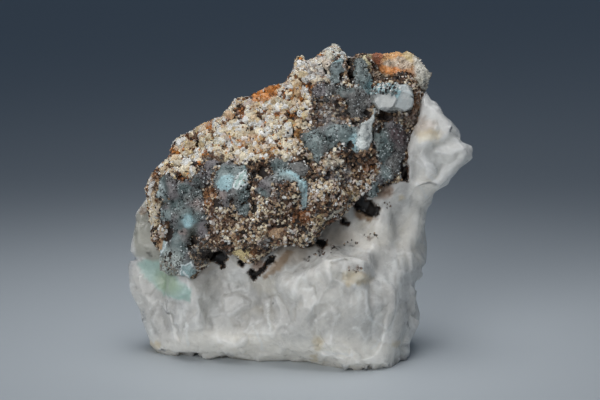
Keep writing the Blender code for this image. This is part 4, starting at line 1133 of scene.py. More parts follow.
def skin_tint(points, across, up, seed):
    """The colours of a skin: greys and teals in soft clouds, with the named patches on them."""
    cloud = clouds(points, 2.8, seed + 3, 4)
    tint = blend_to(all_over(SKIN_GREY, points), VIOLET_GREY, np.clip(cloud * 1.5, 0, 0.7))
    tint = blend_to(tint, SKIN_TEAL, np.clip(-cloud * 1.6, 0, 0.7))
    soft_places = ragged(points * 1.3, across, up, 0.5, seed)
    tint = paint_spots(tint, SKIN_SPOTS, *soft_places, hardness=1.9, most=0.95)
    tint = tint * (1 + clouds(points, 0.9, seed + 7) * 0.26
                   + soft_noise(points, 0.4, seed + 8) * 0.13)[:, None]
    sharp_places = ragged(points * 2.5, across, up, 0.25, seed + 11)
    tint = paint_shapes(tint, SKIN_SHAPES, *sharp_places, 0.85)
    for line in SKIN_LINES:
        for start, end in zip(line, line[1:]):
            close = np.clip(1.3 - line_distance(start, end, *sharp_places) / 0.22, 0, 0.8)
            tint = blend_to(tint, BRIGHT_WHITE, close)
    return tint


print("skins end at", len(SKIN_GAPS), "named gaps")

# %% [markdown]
# The grape-like swellings are domes on cells of two sizes. Each skin's outer points are kept before Solidify,
# for the sparkle that grows on them later.

# %% Skins lifted off the bed
SKIN_LIFT = 0.22
SKIN_THICKNESS = 0.7
SKIN_BORDER_DIP = 0.25
BUBBLE, SMALL_BUBBLE = 2.4, 0.85

skin_tops = {}


def sheet_of_bed(name, keep):
    """A copy of the bed's faces whose corners are all kept."""
    shape = bmesh.new()
    shape.from_mesh(bed.data)
    shape.verts.ensure_lookup_table()
    spare = [face for face in shape.faces if not all(keep[corner.index] for corner in face.verts)]
    bmesh.ops.delete(shape, geom=spare, context="FACES")
    mesh = bpy.data.meshes.new(name)
    shape.to_mesh(mesh)
    shape.free()
    mesh.color_attributes.remove(mesh.color_attributes["Tint"])
    return piece_of(name, mesh)


def lift_skin(name, outline):
    """A sheet lifted off the bed inside the outline, and given its thickness."""
    points, normals = points_of(bed), normals_of(bed)
    across, up = as_seen(points)
    keep = (skin_inside(points, across, up, outline) > -0.15) & (normals @ TOWARDS_VIEWER > -0.1)
    skin = sheet_of_bed("skin_" + name, keep)
    finish_with(skin, "SMOOTH", factor=0.5, iterations=5)
    finish_with(skin, "SUBSURF", levels=1, render_levels=1)
    points, normals = points_of(skin), normals_of(skin)
    across, up = as_seen(points)
    inside = skin_inside(points, across, up, outline)
    swell = (dome(cell_pattern(points, BUBBLE, 130)[0]) * 0.42
             + dome(cell_pattern(points, SMALL_BUBBLE, 140)[0]) * 0.2)
    rise = np.clip(inside / 0.8, 0, 1)
    height = -SKIN_BORDER_DIP + rise * (SKIN_LIFT + swell) + clouds(points, 0.6, 150) * 0.1 * rise
    points += normals * height[:, None]
    move_points(skin, points)
    tint = skin_tint(points, across, up, 160)
    tint = blend_to(tint, MUD, np.clip(0.6 - inside, 0, 1) * 0.5)
    store_tint(skin, tint)
    skin_tops[name] = points, normals, tint, inside
    finish_with(skin, "SOLIDIFY", thickness=SKIN_THICKNESS * MM, offset=-1.0)
    return skin


skins = {name: lift_skin(name, outline) for name, outline in SKIN_OUTLINES.items()}
print("skins:", {name: len(skin.data.vertices) for name, skin in skins.items()})

# %% [markdown]
# ## The single crystals
#
# Up close the crust is sugar: thousands of blocky crystals, a millimetre across in the cream part and half
# that below. Two small shapes are modelled once, a rounded block and a plain brick, and copied in numpy
# with their own size, turn and colour. They sit on the tops of the bed's lumps, so the gaps stay dark.


# %% Crystal shapes
def model_of(operator, rounding=None, **settings):
    """The corners and triangles of a small shape, rounded if wanted. The shape itself is then removed."""
    bpy.ops.object.select_all(action="DESELECT")
    operator(**settings)
    model = bpy.context.object
    bpy.ops.object.mode_set(mode="EDIT")
    bpy.ops.mesh.select_all(action="SELECT")
    if rounding:
        bpy.ops.mesh.subdivide(number_cuts=1)
        bpy.ops.transform.tosphere(value=rounding)
    bpy.ops.mesh.quads_convert_to_tris()
    bpy.ops.object.mode_set(mode="OBJECT")
    corners = points_of(model) * MM
    faces = np.array([face.vertices[:] for face in model.data.polygons])
    bpy.data.objects.remove(model)
    return corners, faces


BLOCK = model_of(bpy.ops.mesh.primitive_cube_add, rounding=0.55, size=1)
BRICK = model_of(bpy.ops.mesh.primitive_cube_add, size=0.8)
print("block", len(BLOCK[1]), "triangles, brick", len(BRICK[1]))


# %% [markdown]
# Tens of thousands of objects would be slow. Each kind of crystal is one mesh instead: the small shape's
# corners are repeated at all the places at once, and only the random numbers differ.

# %% Scattering
def spaced(points, spacing, rng):
    """Picks points that lie about this far apart."""
    order = rng.permutation(len(points))
    cells = np.floor((points[order] + rng.normal(0, spacing * 0.2, (len(points), 3))) / spacing)
    _, first = np.unique(cells, axis=0, return_index=True)
    return order[first]


def seats(points, where, spacing, rng):
    """The points that crystals grow on: some of those where they may grow, about this far apart."""
    chosen = np.flatnonzero(where)
    return chosen[spaced(points[chosen], spacing, rng)]


def random_turns(count, rng):
    """Random turns as matrices."""
    w, x, y, z = rng.normal(size=(4, count))
    length = np.sqrt(w * w + x * x + y * y + z * z)
    w, x, y, z = w / length, x / length, y / length, z / length
    return np.array([
        [1 - 2 * (y * y + z * z), 2 * (x * y - z * w), 2 * (x * z + y * w)],
        [2 * (x * y + z * w), 1 - 2 * (x * x + z * z), 2 * (y * z - x * w)],
        [2 * (x * z - y * w), 2 * (y * z + x * w), 1 - 2 * (x * x + y * y)],
    ]).transpose(2, 0, 1)


def scatter(name, shape, places, sizes, tints, rng):
    """One piece of many small crystals, each with its own size, turn, corners and colour."""
    corners, faces = shape
    count = len(places)
    local = corners[None] * (1 + rng.normal(0, 0.16, (count, len(corners), 1)))
    local = local * rng.uniform(0.65, 1.35, (count, 1, 3)) * sizes[:, None, None]
    every = np.einsum("nij,nkj->nki", random_turns(count, rng), local) + places[:, None]
    index = (faces[None] + np.arange(count)[:, None, None] * len(corners)).reshape(-1, 3)
    mesh = bpy.data.meshes.new(name)
    mesh.from_pydata((every.reshape(-1, 3) * MM).tolist(), [], index.tolist())
    piece = piece_of(name, mesh)
    store_tint(piece, np.repeat(tints, len(corners), axis=0))
    print(name, len(mesh.polygons), "triangles")
    return piece


def pick_colours(shades, shares, count, rng):
    """Random shades, in these shares, each a little lighter or darker."""
    chosen = np.array(shades)[rng.choice(len(shades), count, p=np.array(shares) / sum(shares))]
    return chosen * rng.uniform(0.8, 1.15, (count, 1))


def pick_sizes(size, power, count, rng):
    """Random sizes between two limits, with more small ones for a higher power."""
    return rng.uniform(0, 1, count) ** power * (size[1] - size[0]) + size[0]


print("a turn keeps lengths:", np.linalg.norm(random_turns(1, np.random.default_rng(1))[0], axis=0).round(2))

# %% [markdown]
# The crystals grow on the bare crust: outside the skins, away from its back, and hardly at all on its
# smooth patches. In the cream part rounded lumps come first, smaller near the outline, where they would
# stick out.

# %% Cream lumps
LUMP_SPACING, LUMP_SIZE = 1.1, (0.7, 1.55)
RIM_LUMP_SIZE = 0.8
NUGGET = CRUST_SPOTS[:3]
PINKISH = paint(162, 149, 140)
MID_BROWN = paint(104, 82, 64)

rng = np.random.default_rng(23)
points, normals = points_of(bed), normals_of(bed)
in_skin = np.full(len(points), -9.0)
for outline in SKIN_OUTLINES.values():
    in_skin = np.maximum(in_skin, skin_inside(points, across, up, outline))
bare = (in_skin < 0.15) & (normals[:, 1] < 0.35)
for _, _, outline in SMOOTH_PATCHES:
    bare &= (inside_by(outline, across, up) < 0.1) | (rng.uniform(0, 1, len(points)) < 0.06)
ragged_across, ragged_up = ragged(points * 1.6, across, up, 0.5, 44)
near_rim = inside_by(OUTLINE, across, up) < 1.0
lumps = seats(points, bare & (cream > 0.5) & (dark < 0.15) & (high > 0.45), LUMP_SPACING, rng)
sizes = pick_sizes(LUMP_SIZE, 1.5, len(lumps), rng)
sizes = np.where(near_rim[lumps], np.minimum(sizes, RIM_LUMP_SIZE), sizes)
tints = pick_colours([BRIGHT_CREAM, SUGAR_WHITE, CREAM, PINKISH, PALE_YELLOW], [40, 32, 16, 4, 8],
                     len(lumps), rng)
tints = paint_spots(tints, CRUST_SPOTS, ragged_across[lumps], ragged_up[lumps], 0.35)
tints = paint_spots(tints, NUGGET, ragged_across[lumps], ragged_up[lumps], 0.9)
middles = points[lumps] - normals[lumps] * (sizes * (0.2 + 0.3 * near_rim[lumps]))[:, None]
crystals = [scatter("cream_lumps", BLOCK, middles, sizes, tints, rng)]

# %% [markdown]
# Each lump carries a few grains, so that it looks like a cluster. Most have the lump's colour, and a few
# are dark, tan, orange or white. In the rusty nugget at the upper edge they are orange and brown.

# %% Cream grains
GRAINS_ON_LUMP, GRAIN_SIZE = 8, (0.28, 0.70)

outward = np.repeat(normals[lumps], GRAINS_ON_LUMP, axis=0)
ways = rng.normal(size=(len(lumps) * GRAINS_ON_LUMP, 3)) + outward * 0.9
ways /= np.linalg.norm(ways, axis=1)[:, None]
places = np.repeat(middles, GRAINS_ON_LUMP, axis=0) + ways * np.repeat(sizes * 0.48, GRAINS_ON_LUMP)[:, None]
sizes = pick_sizes(GRAIN_SIZE, 1.5, len(places), rng)
tints = np.repeat(tints, GRAINS_ON_LUMP, axis=0) * rng.uniform(0.80, 1.14, (len(places), 1))
chance = rng.uniform(0, 1, len(places))
tints = np.where((chance < 0.09)[:, None], GAP_BLACK, tints)
tints = blend_to(tints, TAN, ((chance > 0.09) & (chance < 0.15)) * 0.8)
tints = blend_to(tints, ORANGE, ((chance > 0.15) & (chance < 0.18)) * 0.6)
tints = blend_to(tints, SUGAR_WHITE, (chance > 0.80) * 0.7)
grain_across, grain_up, _, _, in_hole, _ = crust_fields(places)
in_nugget = np.max([spot_amount(spot, grain_across, grain_up) for _, *spot in NUGGET], axis=0) > 0.15
nugget = pick_colours([ORANGE, RUST, DARK_RUST], [34, 32, 34], len(places), rng)
tints = np.where(in_nugget[:, None], nugget, tints)
clear = (in_hole < 0.5) & (inside_by(OUTLINE, grain_across, grain_up) > 0.2)
crystals.append(scatter("cream_grains", BRICK, places[clear], sizes[clear], tints[clear], rng))
print("grains in the nugget:", int(in_nugget.sum()))

# %% [markdown]
# Small crystals fill the rest of the cream part, stained where they lie low. The lower part is a speckle
# of light crystals on dark ones, and its stains take hold of each crystal by a different amount.

# %% Cream crystals and speckle
UPPER_SPACING, UPPER_SIZE = 0.50, (0.30, 0.90)
LOWER_SPACING, LOWER_SIZE = 0.46, (0.26, 0.85)

upper = seats(points, bare & (cream > 0.5) & (dark < 0.5), UPPER_SPACING, rng)
sizes = pick_sizes(UPPER_SIZE, 2.0, len(upper), rng)
unstained = pick_colours([BRIGHT_CREAM, CREAM, SUGAR_WHITE, PINKISH, PALE_YELLOW, TAN], [26, 22, 30, 8, 6, 8],
                         len(upper), rng)
stained = pick_colours([GAP_BROWN, DARK_RUST, RUST, ORANGE, TAN, GAP_BLACK], [22, 24, 20, 10, 8, 16],
                       len(upper), rng)
stain = 1.1 - high[upper] * 1.2 + halo[upper] * 0.6 + rng.normal(0, 0.25, len(upper))
tints = np.where(stain[:, None] > 0.5, stained, unstained)
strengths = rng.uniform(0, 0.9, len(upper))
tints = paint_spots(tints, CRUST_SPOTS, ragged_across[upper], ragged_up[upper], strengths)
crystals.append(scatter("cream_crystals", BRICK, points[upper], sizes, tints, rng))
lower = seats(points, bare & (cream <= 0.5) & (dark < 0.5), LOWER_SPACING, rng)
sizes = pick_sizes(LOWER_SIZE, 1.6, len(lower), rng)
light = pick_colours([BRIGHT_CREAM, CREAM, SUGAR_WHITE, PINKISH, TAN], [22, 22, 22, 22, 12], len(lower), rng)
shady = pick_colours([GAP_BLACK, GAP_BROWN, DARK_RUST, MID_BROWN, TAN], [38, 28, 8, 20, 6], len(lower), rng)
lightness = (clouds(points[lower], 3.0, 79) * 0.7 + fine_height[lower] * 0.5 + sizes * 0.5 - halo[lower] * 0.4
             + rng.normal(0, 0.25, len(lower)))
tints = np.where(lightness[:, None] > 0.80, light, shady)
lower_places = ragged_across[lower], ragged_up[lower]
tints = paint_spots(tints, CRUST_SPOTS, *lower_places, rng.uniform(0, 1, len(lower)) ** 2)
tints = paint_spots(tints, DRUSE_SPOTS, *lower_places, rng.uniform(0.2, 0.9, len(lower)))
places = points[lower] + normals[lower] * (sizes * 0.1)[:, None]
crystals.append(scatter("speckle_crystals", BRICK, places, sizes, tints, rng))
print("light crystals in the speckle:", round(float((lightness > 0.80).mean()), 2))

# %% [markdown]
# Tiny crystals glitter on the skins too, thickest at their rims and in a few dusty zones. The smooth
# patches stay nearly free of them.

# %% Sparkle on the skins
SPARKLE_SPACING = 0.44
SPARKLE_SIZE = (0.15, 0.46)
RIM_SIZE = (0.26, 0.68)
SPARKLE_ZONES = [
    (-25.5, -12, 5, 3.6), (24.5, 12, 3.6, 8), (6, 27.4, 4.5, 3), (15, 23.5, 3.6, 4), (-27, 6.5, 7, 2.4),
    (-23.5, -1.5, 2.5, 5), (-31.5, -15, 3, 2.4), (-16.5, -0.5, 2.4, 2.4),
]

tops = []
for top_points, top_normals, top_tint, inside in skin_tops.values():
    chosen = spaced(top_points, SPARKLE_SPACING, rng)
    tops.append(np.column_stack([top_points, top_normals, top_tint, inside])[chosen])
tops = np.vstack(tops)
places, directions, colours, edges = tops[:, 0:3], tops[:, 3:6], tops[:, 6:9], tops[:, 9]
on_rim = edges < 0.5 + clouds(places, 1.4, 215) * 0.7
smooth = np.max([inside_by(outline, *as_seen(places)) for _, _, outline in SKIN_SHAPES], axis=0) > 0.2
sparkling = np.max([spot_amount(spot, *as_seen(places)) for spot in SPARKLE_ZONES], axis=0) > 0.1
kept = on_rim | sparkling | (clouds(places, 1.6, 210) > -0.02)
kept &= ~(smooth & (rng.uniform(0, 1, len(places)) < 0.85))
places, directions, colours, on_rim = places[kept], directions[kept], colours[kept], on_rim[kept]
chance = rng.uniform(0, 1, len(places))
colours = colours * rng.uniform(0.6, 1.35, (len(places), 1))
colours = blend_to(colours, GAP_BLACK, (chance < 0.30) * 0.85)
colours = blend_to(colours, BRIGHT_WHITE, (chance > 0.87) * 0.6)
rim_colours = pick_colours([GAP_BLACK, GAP_BROWN, MID_BROWN, CREAM, SUGAR_WHITE, PINKISH, SKIN_GREY],
                           [24, 16, 14, 10, 12, 10, 14], len(places), rng)
colours = np.where(on_rim[:, None], rim_colours, colours)
rim_sizes = pick_sizes(RIM_SIZE, 1.6, len(places), rng)
sizes = np.where(on_rim, rim_sizes, pick_sizes(SPARKLE_SIZE, 2, len(places), rng))
places = places + directions * (sizes * 0.05)[:, None]
crystals.append(scatter("skin_sparkle", BRICK, places, sizes, colours, rng))
print("rim share of the sparkle:", round(float(on_rim.mean()), 2))

# %% [markdown]
# A thin fringe of dark grains grows round the hollows under the lip, and brown specks lie on the quartz
# beside them.

# %% Grains under the lip
LIP_SPACING, LIP_SIZE = 0.36, (0.18, 0.50)
SPECK_LINES = [
    ((1, -15), (5, -13.2)), ((5, -13.2), (8.5, -12)), ((11.5, -11), (14, -10.4)), ((17, -9), (19, -8.8)),
    ((19, 3.5), (22, 1)), ((20, 1), (22, -1)), ((-15.8, -12.5), (-11, -15.5)),
    ((12.5, -17.5), (15.5, -17.5)),
]

points, normals = points_of(quartz), normals_of(quartz)
across, up = as_seen(points)
fringe = (hollow > 0.1) & (hollow < 0.9)
near_line = np.min([line_distance(start, end, across, up) for start, end in SPECK_LINES], axis=0)
specks = (near_line < rng.uniform(0, 1, len(points)) ** 2 * 1.2) & (normals @ TOWARDS_VIEWER > 0.2)
shaded = seats(points, fringe | (specks & (soft_noise(points, 0.8, 301) > 0)), LIP_SPACING, rng)
sizes = pick_sizes(LIP_SIZE, 2.0, len(shaded), rng)
tints = pick_colours([GAP_BLACK, GAP_BROWN, DARK_RUST, TAN, SUGAR_WHITE], [40, 30, 14, 8, 8],
                     len(shaded), rng)
crystals.append(scatter("lip_grains", BRICK, points[shaded], sizes, tints, rng))
print("grains under the lip:", len(shaded))

# %% [markdown]
# ## The rusty vein
#
# Behind the upper right corner stands a piece of quartz that iron-rich water has stained in bands, from
# pale yellow over orange to red-brown, with a glassy, nearly clear right edge. It is broken flat in many
# places, and its bands stand out a little.

# %% Vein shape
VEIN_GROWTH = 0.45
VEIN_NET = 0.28
VEIN_BREAKS = 90
BAND_TURNS = 2.6

rng = np.random.default_rng(31)
vein = copy_of_solids("rusty_vein", ["iron_vein"], grow=VEIN_GROWTH)
fine_net(vein, VEIN_NET)
finish_with(vein, "SMOOTH", factor=0.5, iterations=4)
points, normals = points_of(vein), normals_of(vein)
points = break_off(points, normals, rng.choice(len(points), VEIN_BREAKS), 0.4, (0.08, 0.4), (0.8, 3.0), rng)
across, up = as_seen(points)
bands = np.sin((up + across * 0.25 + clouds(points, 4, 5) * 1.6) * BAND_TURNS)
bubbles = cell_pattern(points, 1.3, 8)[0]
points += normals * (bands * 0.12 + clouds(points, 1.6, 9) * 0.2 - bubbles * 0.3 + 0.1)[:, None]
points = fit_outline(points, normals, 0.3, 1.2)
move_points(vein, points)
print("vein:", len(points), "vertices")

# %% [markdown]
# Shape and colour share one wave, so the raised bands are the browner ones. Stains and banded patches are
# painted over it. Small crystals grow in patches on all but the vein's left strip.

# %% Vein colours
VEIN_GREY = paint(150, 132, 108)
BAND_BROWN = paint(156, 116, 78)
CRACK_BROWN = paint(70, 52, 40)
VEIN_SPOTS = [
    (paint(190, 176, 140), 16.8, 34.6, 1.6, 3.6), (paint(190, 176, 140), 18.4, 32.4, 1.2, 1.6),
    (paint(132, 76, 52), 19.8, 35.2, 2, 3.2), (paint(176, 108, 56), 22.8, 36.4, 3.2, 1.6),
    (paint(170, 128, 66), 26.2, 37, 2.2, 2), (paint(170, 152, 130), 23.6, 34.4, 3.6, 1.6),
    (paint(172, 106, 48), 22, 32.6, 4.4, 1), (paint(166, 98, 46), 26.8, 30.8, 2.8, 2.4),
    (paint(96, 60, 38), 23.6, 31.4, 2.6, 0.6), (paint(96, 60, 38), 26.4, 28.6, 1.8, 1.2),
    (paint(150, 150, 146), 31, 32, 3.4, 5.4), (paint(178, 160, 116), 29.2, 29.4, 1.8, 2),
    (paint(84, 84, 70), 31.4, 29.4, 0.6, 2), (paint(170, 160, 146), 31, 25.6, 2.6, 2.6),
    (paint(190, 182, 164), 20.4, 31, 2.6, 0.8), (paint(60, 50, 42), 22.6, 30.2, 2.8, 0.6),
    (paint(150, 148, 138), 28.8, 35.8, 1.6, 1.6),
]
VEIN_SHAPES = [
    (paint(190, 180, 148), 0.3, [(14.2, 36.5), (16, 37.2), (17.5, 36.2), (18, 34), (19.2, 32), (18.5, 31),
        (17.2, 31.5), (16.2, 33.5), (15, 35.5)]),
    (paint(136, 88, 68), 0.4, [(17.8, 37.4), (21.2, 37.4), (22, 35.8), (20.5, 34.4), (19.5, 33.4),
        (18.6, 33.2), (18, 35)]),
    (paint(184, 148, 104), 0.4, [(21.2, 37.6), (25.4, 37.6), (25.8, 36.2), (22.6, 35.4), (20.8, 34.2),
        (20.4, 35)]),
    (paint(168, 154, 138), 0.5, [(20.6, 34), (22.6, 35.2), (26, 36), (28.2, 34.6), (27.4, 32.6),
        (22, 33.2)]),
    (paint(186, 128, 78), 0.4, [(18.6, 32.4), (20.4, 33.6), (24, 33.2), (26.6, 32), (29, 29.6),
        (28.4, 28.2), (26, 29.6), (23.6, 31.6), (20, 31.6)]),
    (paint(172, 154, 114), 0.5, [(25.8, 36.4), (27.2, 37.8), (28.8, 36.6), (28, 34.6), (26.6, 35)]),
    (paint(178, 176, 166), 0.8, [(28.6, 36.4), (31, 34.4), (33.6, 31.6), (32.4, 29), (31.6, 27),
        (29.6, 28.6), (28.8, 32)]),
]

normals = normals_of(vein)
tint = blend_to(all_over(VEIN_GREY, points), BAND_BROWN, np.clip(bands * 0.5 + 0.3, 0, 0.8))
tint = paint_spots(tint, VEIN_SPOTS, *ragged(points, across, up, 0.7, 12), 0.5)
tint = paint_shapes(tint, VEIN_SHAPES, *ragged(points * 2.0, across, up, 0.4, 16), 0.8)
tint = tint * (1 + clouds(points, 0.7, 18) * 0.3 + soft_noise(points, 3.0, 19) * 0.12)[:, None]
tint = cloud_in(tint, points, (CRACK_BROWN, 0.8, 13, 2, -0.9, 0.7))
store_tint(vein, tint)
grown = seats(points, (across > 18.5) & (clouds(points, 1.5, 303) > 0.1), 0.62, rng)
sizes = pick_sizes((0.25, 0.9), 2.2, len(grown), rng)
places = points[grown] - normals[grown] * (sizes * 0.1)[:, None]
tints = tint[grown] * rng.uniform(0.7, 1.25, (len(grown), 1))
crystals.append(scatter("vein_crystals", BRICK, places, sizes, tints, rng))
print("crystals on the vein:", len(grown))

# %% [markdown]
# ## The white knob
#
# A clear white quartz crystal sticks out of the crust. Its big flat faces meet at sharp edges. Four broad
# faces are cut first, then small chips, and last the faces that the viewer sees.

# %% Knob shape
KNOB_GROWTH = 0.5
KNOB_NET = 0.2
KNOB_CHIPS = 26
KNOB_FACES = [
    (-0.05, -0.5, 0.86, 0.8), (-0.88, -0.4, 0.25, 0.9), (0.92, -0.35, -0.15, 0.9),
    (0, -0.62, -0.78, 0.82),
]
KNOB_PLATES = [
    ([(18.9, 25.6), (20.8, 27.3), (23, 27.2), (24.3, 25.2), (23.4, 23.3), (21.6, 21.8), (19.6, 22.2),
        (18.2, 24.2)], 0.15, -0.25, 0.8),
    ([(24.2, 25.2), (25.6, 27), (27.4, 26.2), (28.8, 25), (28.4, 23.3), (26.2, 22), (23.8, 23.2)],
        -0.15, 0.1, 0.4),
    ([(24, 29.2), (26.2, 29.2), (27.8, 27), (28.8, 25.4), (27.3, 26.4), (25.5, 27.2)], -0.4, -0.7, 0.2),
    ([(23.2, 28.6), (25.4, 27.2), (24.2, 25.4), (23, 27)], 0.3, 0.3, 0.1),
]

knob = copy_of_solids("white_knob", ["quartz_knob"], grow=KNOB_GROWTH)
fine_net(knob, KNOB_NET)
points = points_of(knob)
middle = points.mean(axis=0)
for *outward, share in KNOB_FACES:
    outward = unit(np.array(outward))
    reach = ((points - middle) @ outward).max()
    points = flat_break(points, middle + outward * reach * share, outward, 30)
for index in rng.choice(len(points), KNOB_CHIPS):
    outward = unit(points[index] - middle)
    place = points[index] - outward * rng.uniform(0.2, 0.5)
    points = flat_break(points, place, outward, rng.uniform(1.0, 2.2))
move_points(knob, points)
normals = normals_of(knob)
points += normals * (clouds(points, 0.9, 3) * 0.06 + facets(points, 1.4, 0.10, 5))[:, None]
points = press_plates(points, normals, KNOB_PLATES, 1.6)
points += normals * (facets(points, 1.1, 0.04, 7) + clouds(points, 0.5, 9) * 0.03)[:, None]
move_points(knob, points)
print("knob:", len(points), "vertices")

# %% [markdown]
# The knob is clearer than the lump of quartz, and its faces differ in tone. Each big face is painted with its
# own grey tone as painted light and shade, and one small face is its own pale cyan.
# A tuft of small crystals grows at its upper left.

# %% Knob colours
KNOB_SPOTS = [
    (PALE_TEAL, 20.2, 28.4, 4.2, 2.2), (PALE_CYAN, 22.4, 27.6, 2.6, 1.4), (SKIN_TEAL, 27.8, 22.6, 2.6, 2.2),
    (PALE_CYAN, 24.8, 25.4, 0.8, 1.6), (SKIN_GREY, 17.8, 26.6, 1.6, 2.2),
]
# Tones for the knob's faces: the three greys are painted light and shade, the cyan is the face's own colour.
PLATE_LIGHT_AND_TINT = [paint(166, 167, 164), paint(158, 162, 161), paint(162, 168, 168), PALE_CYAN]
KNOB_GREY = paint(150, 152, 149)
KNOB_VEIL = paint(138, 142, 141)
KNOB_FOOT = paint(92, 72, 58)

across, up = as_seen(points)
ragged_across, ragged_up = ragged(points, across, up, 0.5, 14)
tint = cloud_in(all_over(KNOB_GREY, points), points, (PALE_TEAL, 1.5, 15, 2, 0, 0.8))
tint = blend_to(tint, KNOB_FOOT, np.clip(22.4 - ragged_up, 0, 0.9))
tint = paint_spots(tint, KNOB_SPOTS, ragged_across, ragged_up, 0.8)
# Painted light and shade: each big face gets its own grey tone, and the small last face is cyan.
plates = [(colour, 0.2, plate[0]) for colour, plate in zip(PLATE_LIGHT_AND_TINT, KNOB_PLATES)]
tint = paint_shapes(tint, plates, across, up, 0.9)
tint = cloud_in(tint, points, (KNOB_VEIL, 1.8, 21, 2, 0, 0.6), (VEIL_WHITE, 0.8, 23, 2, -0.6, 0.8))
store_tint(knob, tint)
grown = seats(points, (up > 26.6) & (across < 24.4) & (clouds(points, 1.2, 305) > -0.25), 0.42, rng)
sizes = pick_sizes((0.25, 0.8), 1.8, len(grown), rng)
tints = pick_colours([PALE_CYAN, SUGAR_WHITE, PALE_TEAL, GAP_BLACK, SKIN_GREY], [26, 26, 20, 14, 14],
                     len(grown), rng)
crystals.append(scatter("knob_crystals", BRICK, points[grown], sizes, tints, rng))
print("crystals beside the knob:", len(grown))

# %% [markdown]
# ## Finishes
#
# All materials share one pattern group. It gives a fine relief for the bump and a soft mottling that
# varies colour and gloss a little. The painted tint carries the colour. Quartz lets some light in under
# the surface, which takes the hardness out of its shadows.

# %% Pattern group
pattern = bpy.data.node_groups.new("Mineral pattern", "ShaderNodeTree")
for socket in ("Grains Per Metre", "Mottling", "Speckle", "Veins"):
    pattern.interface.new_socket(socket, in_out="INPUT", socket_type="NodeSocketFloat")
for socket in ("Height", "Shade", "Gloss"):
    pattern.interface.new_socket(socket, in_out="OUTPUT", socket_type="NodeSocketFloat")
into, out = pattern.nodes.new("NodeGroupInput"), pattern.nodes.new("NodeGroupOutput")
place = pattern.nodes.new("ShaderNodeTexCoord")


def texture_of(kind, scale, **values):
    """A texture in the group, at this many times the grains' own scale."""
    texture = pattern.nodes.new(kind)
    for socket, value in values.items():
        texture.inputs[socket].default_value = value
    pattern.links.new(place.outputs["Object"], texture.inputs["Vector"])
    pattern.links.new(calculate("MULTIPLY", into.outputs["Grains Per Metre"], scale), texture.inputs["Scale"])
    return texture


def calculate(operation, *values):
    """A math node in the group, fed by links or plain numbers."""
    made = pattern.nodes.new("ShaderNodeMath")
    made.operation = operation
    for socket, value in zip(made.inputs, values):
        if isinstance(value, float):
            socket.default_value = value
        else:
            pattern.links.new(value, socket)
    return made.outputs[0]


relief = texture_of("ShaderNodeTexNoise", 1.0, Detail=3.0)
cells = texture_of("ShaderNodeTexVoronoi", 1.0)
flecks = texture_of("ShaderNodeTexVoronoi", 1.4)
mottle = texture_of("ShaderNodeTexNoise", 0.4, Detail=4.0)
web = texture_of("ShaderNodeTexNoise", 0.10, Detail=5.0, Distortion=1.5)
fleck = pattern.nodes.new("ShaderNodeSeparateColor")
pattern.links.new(flecks.outputs["Color"], fleck.inputs["Color"])
height = calculate("SUBTRACT", relief.outputs["Fac"], cells.outputs["Distance"])
cloudy = calculate("MULTIPLY", calculate("SUBTRACT", mottle.outputs["Fac"], 0.5), into.outputs["Mottling"])
spotty = calculate("MULTIPLY", calculate("SUBTRACT", fleck.outputs["Red"], 0.5), into.outputs["Speckle"])
off_line = calculate("ABSOLUTE", calculate("SUBTRACT", web.outputs["Fac"], 0.5))
line = calculate("MAXIMUM", calculate("SUBTRACT", 1.0, calculate("MULTIPLY", off_line, 22.0)), 0.0)
veined = calculate("MULTIPLY", line, into.outputs["Veins"])
shade = calculate("ADD", calculate("ADD", calculate("ADD", cloudy, spotty), veined), 1.0)
pattern.links.new(height, out.inputs["Height"])
pattern.links.new(shade, out.inputs["Shade"])
pattern.links.new(mottle.outputs["Fac"], out.inputs["Gloss"])
print("pattern group with", len(pattern.nodes), "nodes")

# %% [markdown]
# Every finish is the same small network: the painted tint times the group's shade for the colour, its
# gloss for the roughness, its height for the bump. What is the same all over is set on the shader itself.


# %% Stone material
def stone(name, grain, relief, roughness, mottling, speckle, veins=0.0, **fixed):
    """A mineral finish: grain size and relief in millimetres, and how far colour and roughness vary."""
    material = bpy.data.materials.new(name)
    material.use_nodes = True
    nodes, links = material.node_tree.nodes, material.node_tree.links
    shader = nodes["Principled BSDF"]
    for socket, value in fixed.items():
        shader.inputs[socket.replace("_", " ")].default_value = value
    painted = nodes.new("ShaderNodeVertexColor")
    painted.layer_name = "Tint"
    detail = nodes.new("ShaderNodeGroup")
    detail.node_tree = pattern
    amounts = {"Grains Per Metre": 1 / (grain * MM), "Mottling": mottling, "Speckle": speckle, "Veins": veins}
    for socket, value in amounts.items():
        detail.inputs[socket].default_value = value
    tinted = nodes.new("ShaderNodeVectorMath")
    tinted.operation = "SCALE"
    gloss = nodes.new("ShaderNodeMapRange")
    for socket, value in zip(("From Min", "From Max", "To Min", "To Max"), (0.3, 0.7, *roughness)):
        gloss.inputs[socket].default_value = value
    bump = nodes.new("ShaderNodeBump")
    bump.inputs["Distance"].default_value = relief * MM
    links.new(painted.outputs["Color"], tinted.inputs[0])
    links.new(detail.outputs["Shade"], tinted.inputs["Scale"])
    links.new(tinted.outputs["Vector"], shader.inputs["Base Color"])
    links.new(detail.outputs["Gloss"], gloss.inputs["Value"])
    links.new(gloss.outputs["Result"], shader.inputs["Roughness"])
    links.new(detail.outputs["Height"], bump.inputs["Height"])
    links.new(bump.outputs["Normal"], shader.inputs["Normal"])
    return material


print("the group's inputs:", [item.name for item in pattern.interface.items_tree if item.in_out == "INPUT"])


# %% [markdown]
# The minerals differ in grain, gloss and depth. Quartz is glassy and lets light in, the crust is rough, and
# the small crystals glitter. The table is plain and pale, so it needs no pattern.

# %% Finishes
def lit_within(weight, depth):
    """The shader's settings for light that goes in under the surface, as deep as this in metres."""
    return dict(Subsurface_Weight=weight, Subsurface_Scale=depth, Subsurface_Radius=(1, 1, 1))


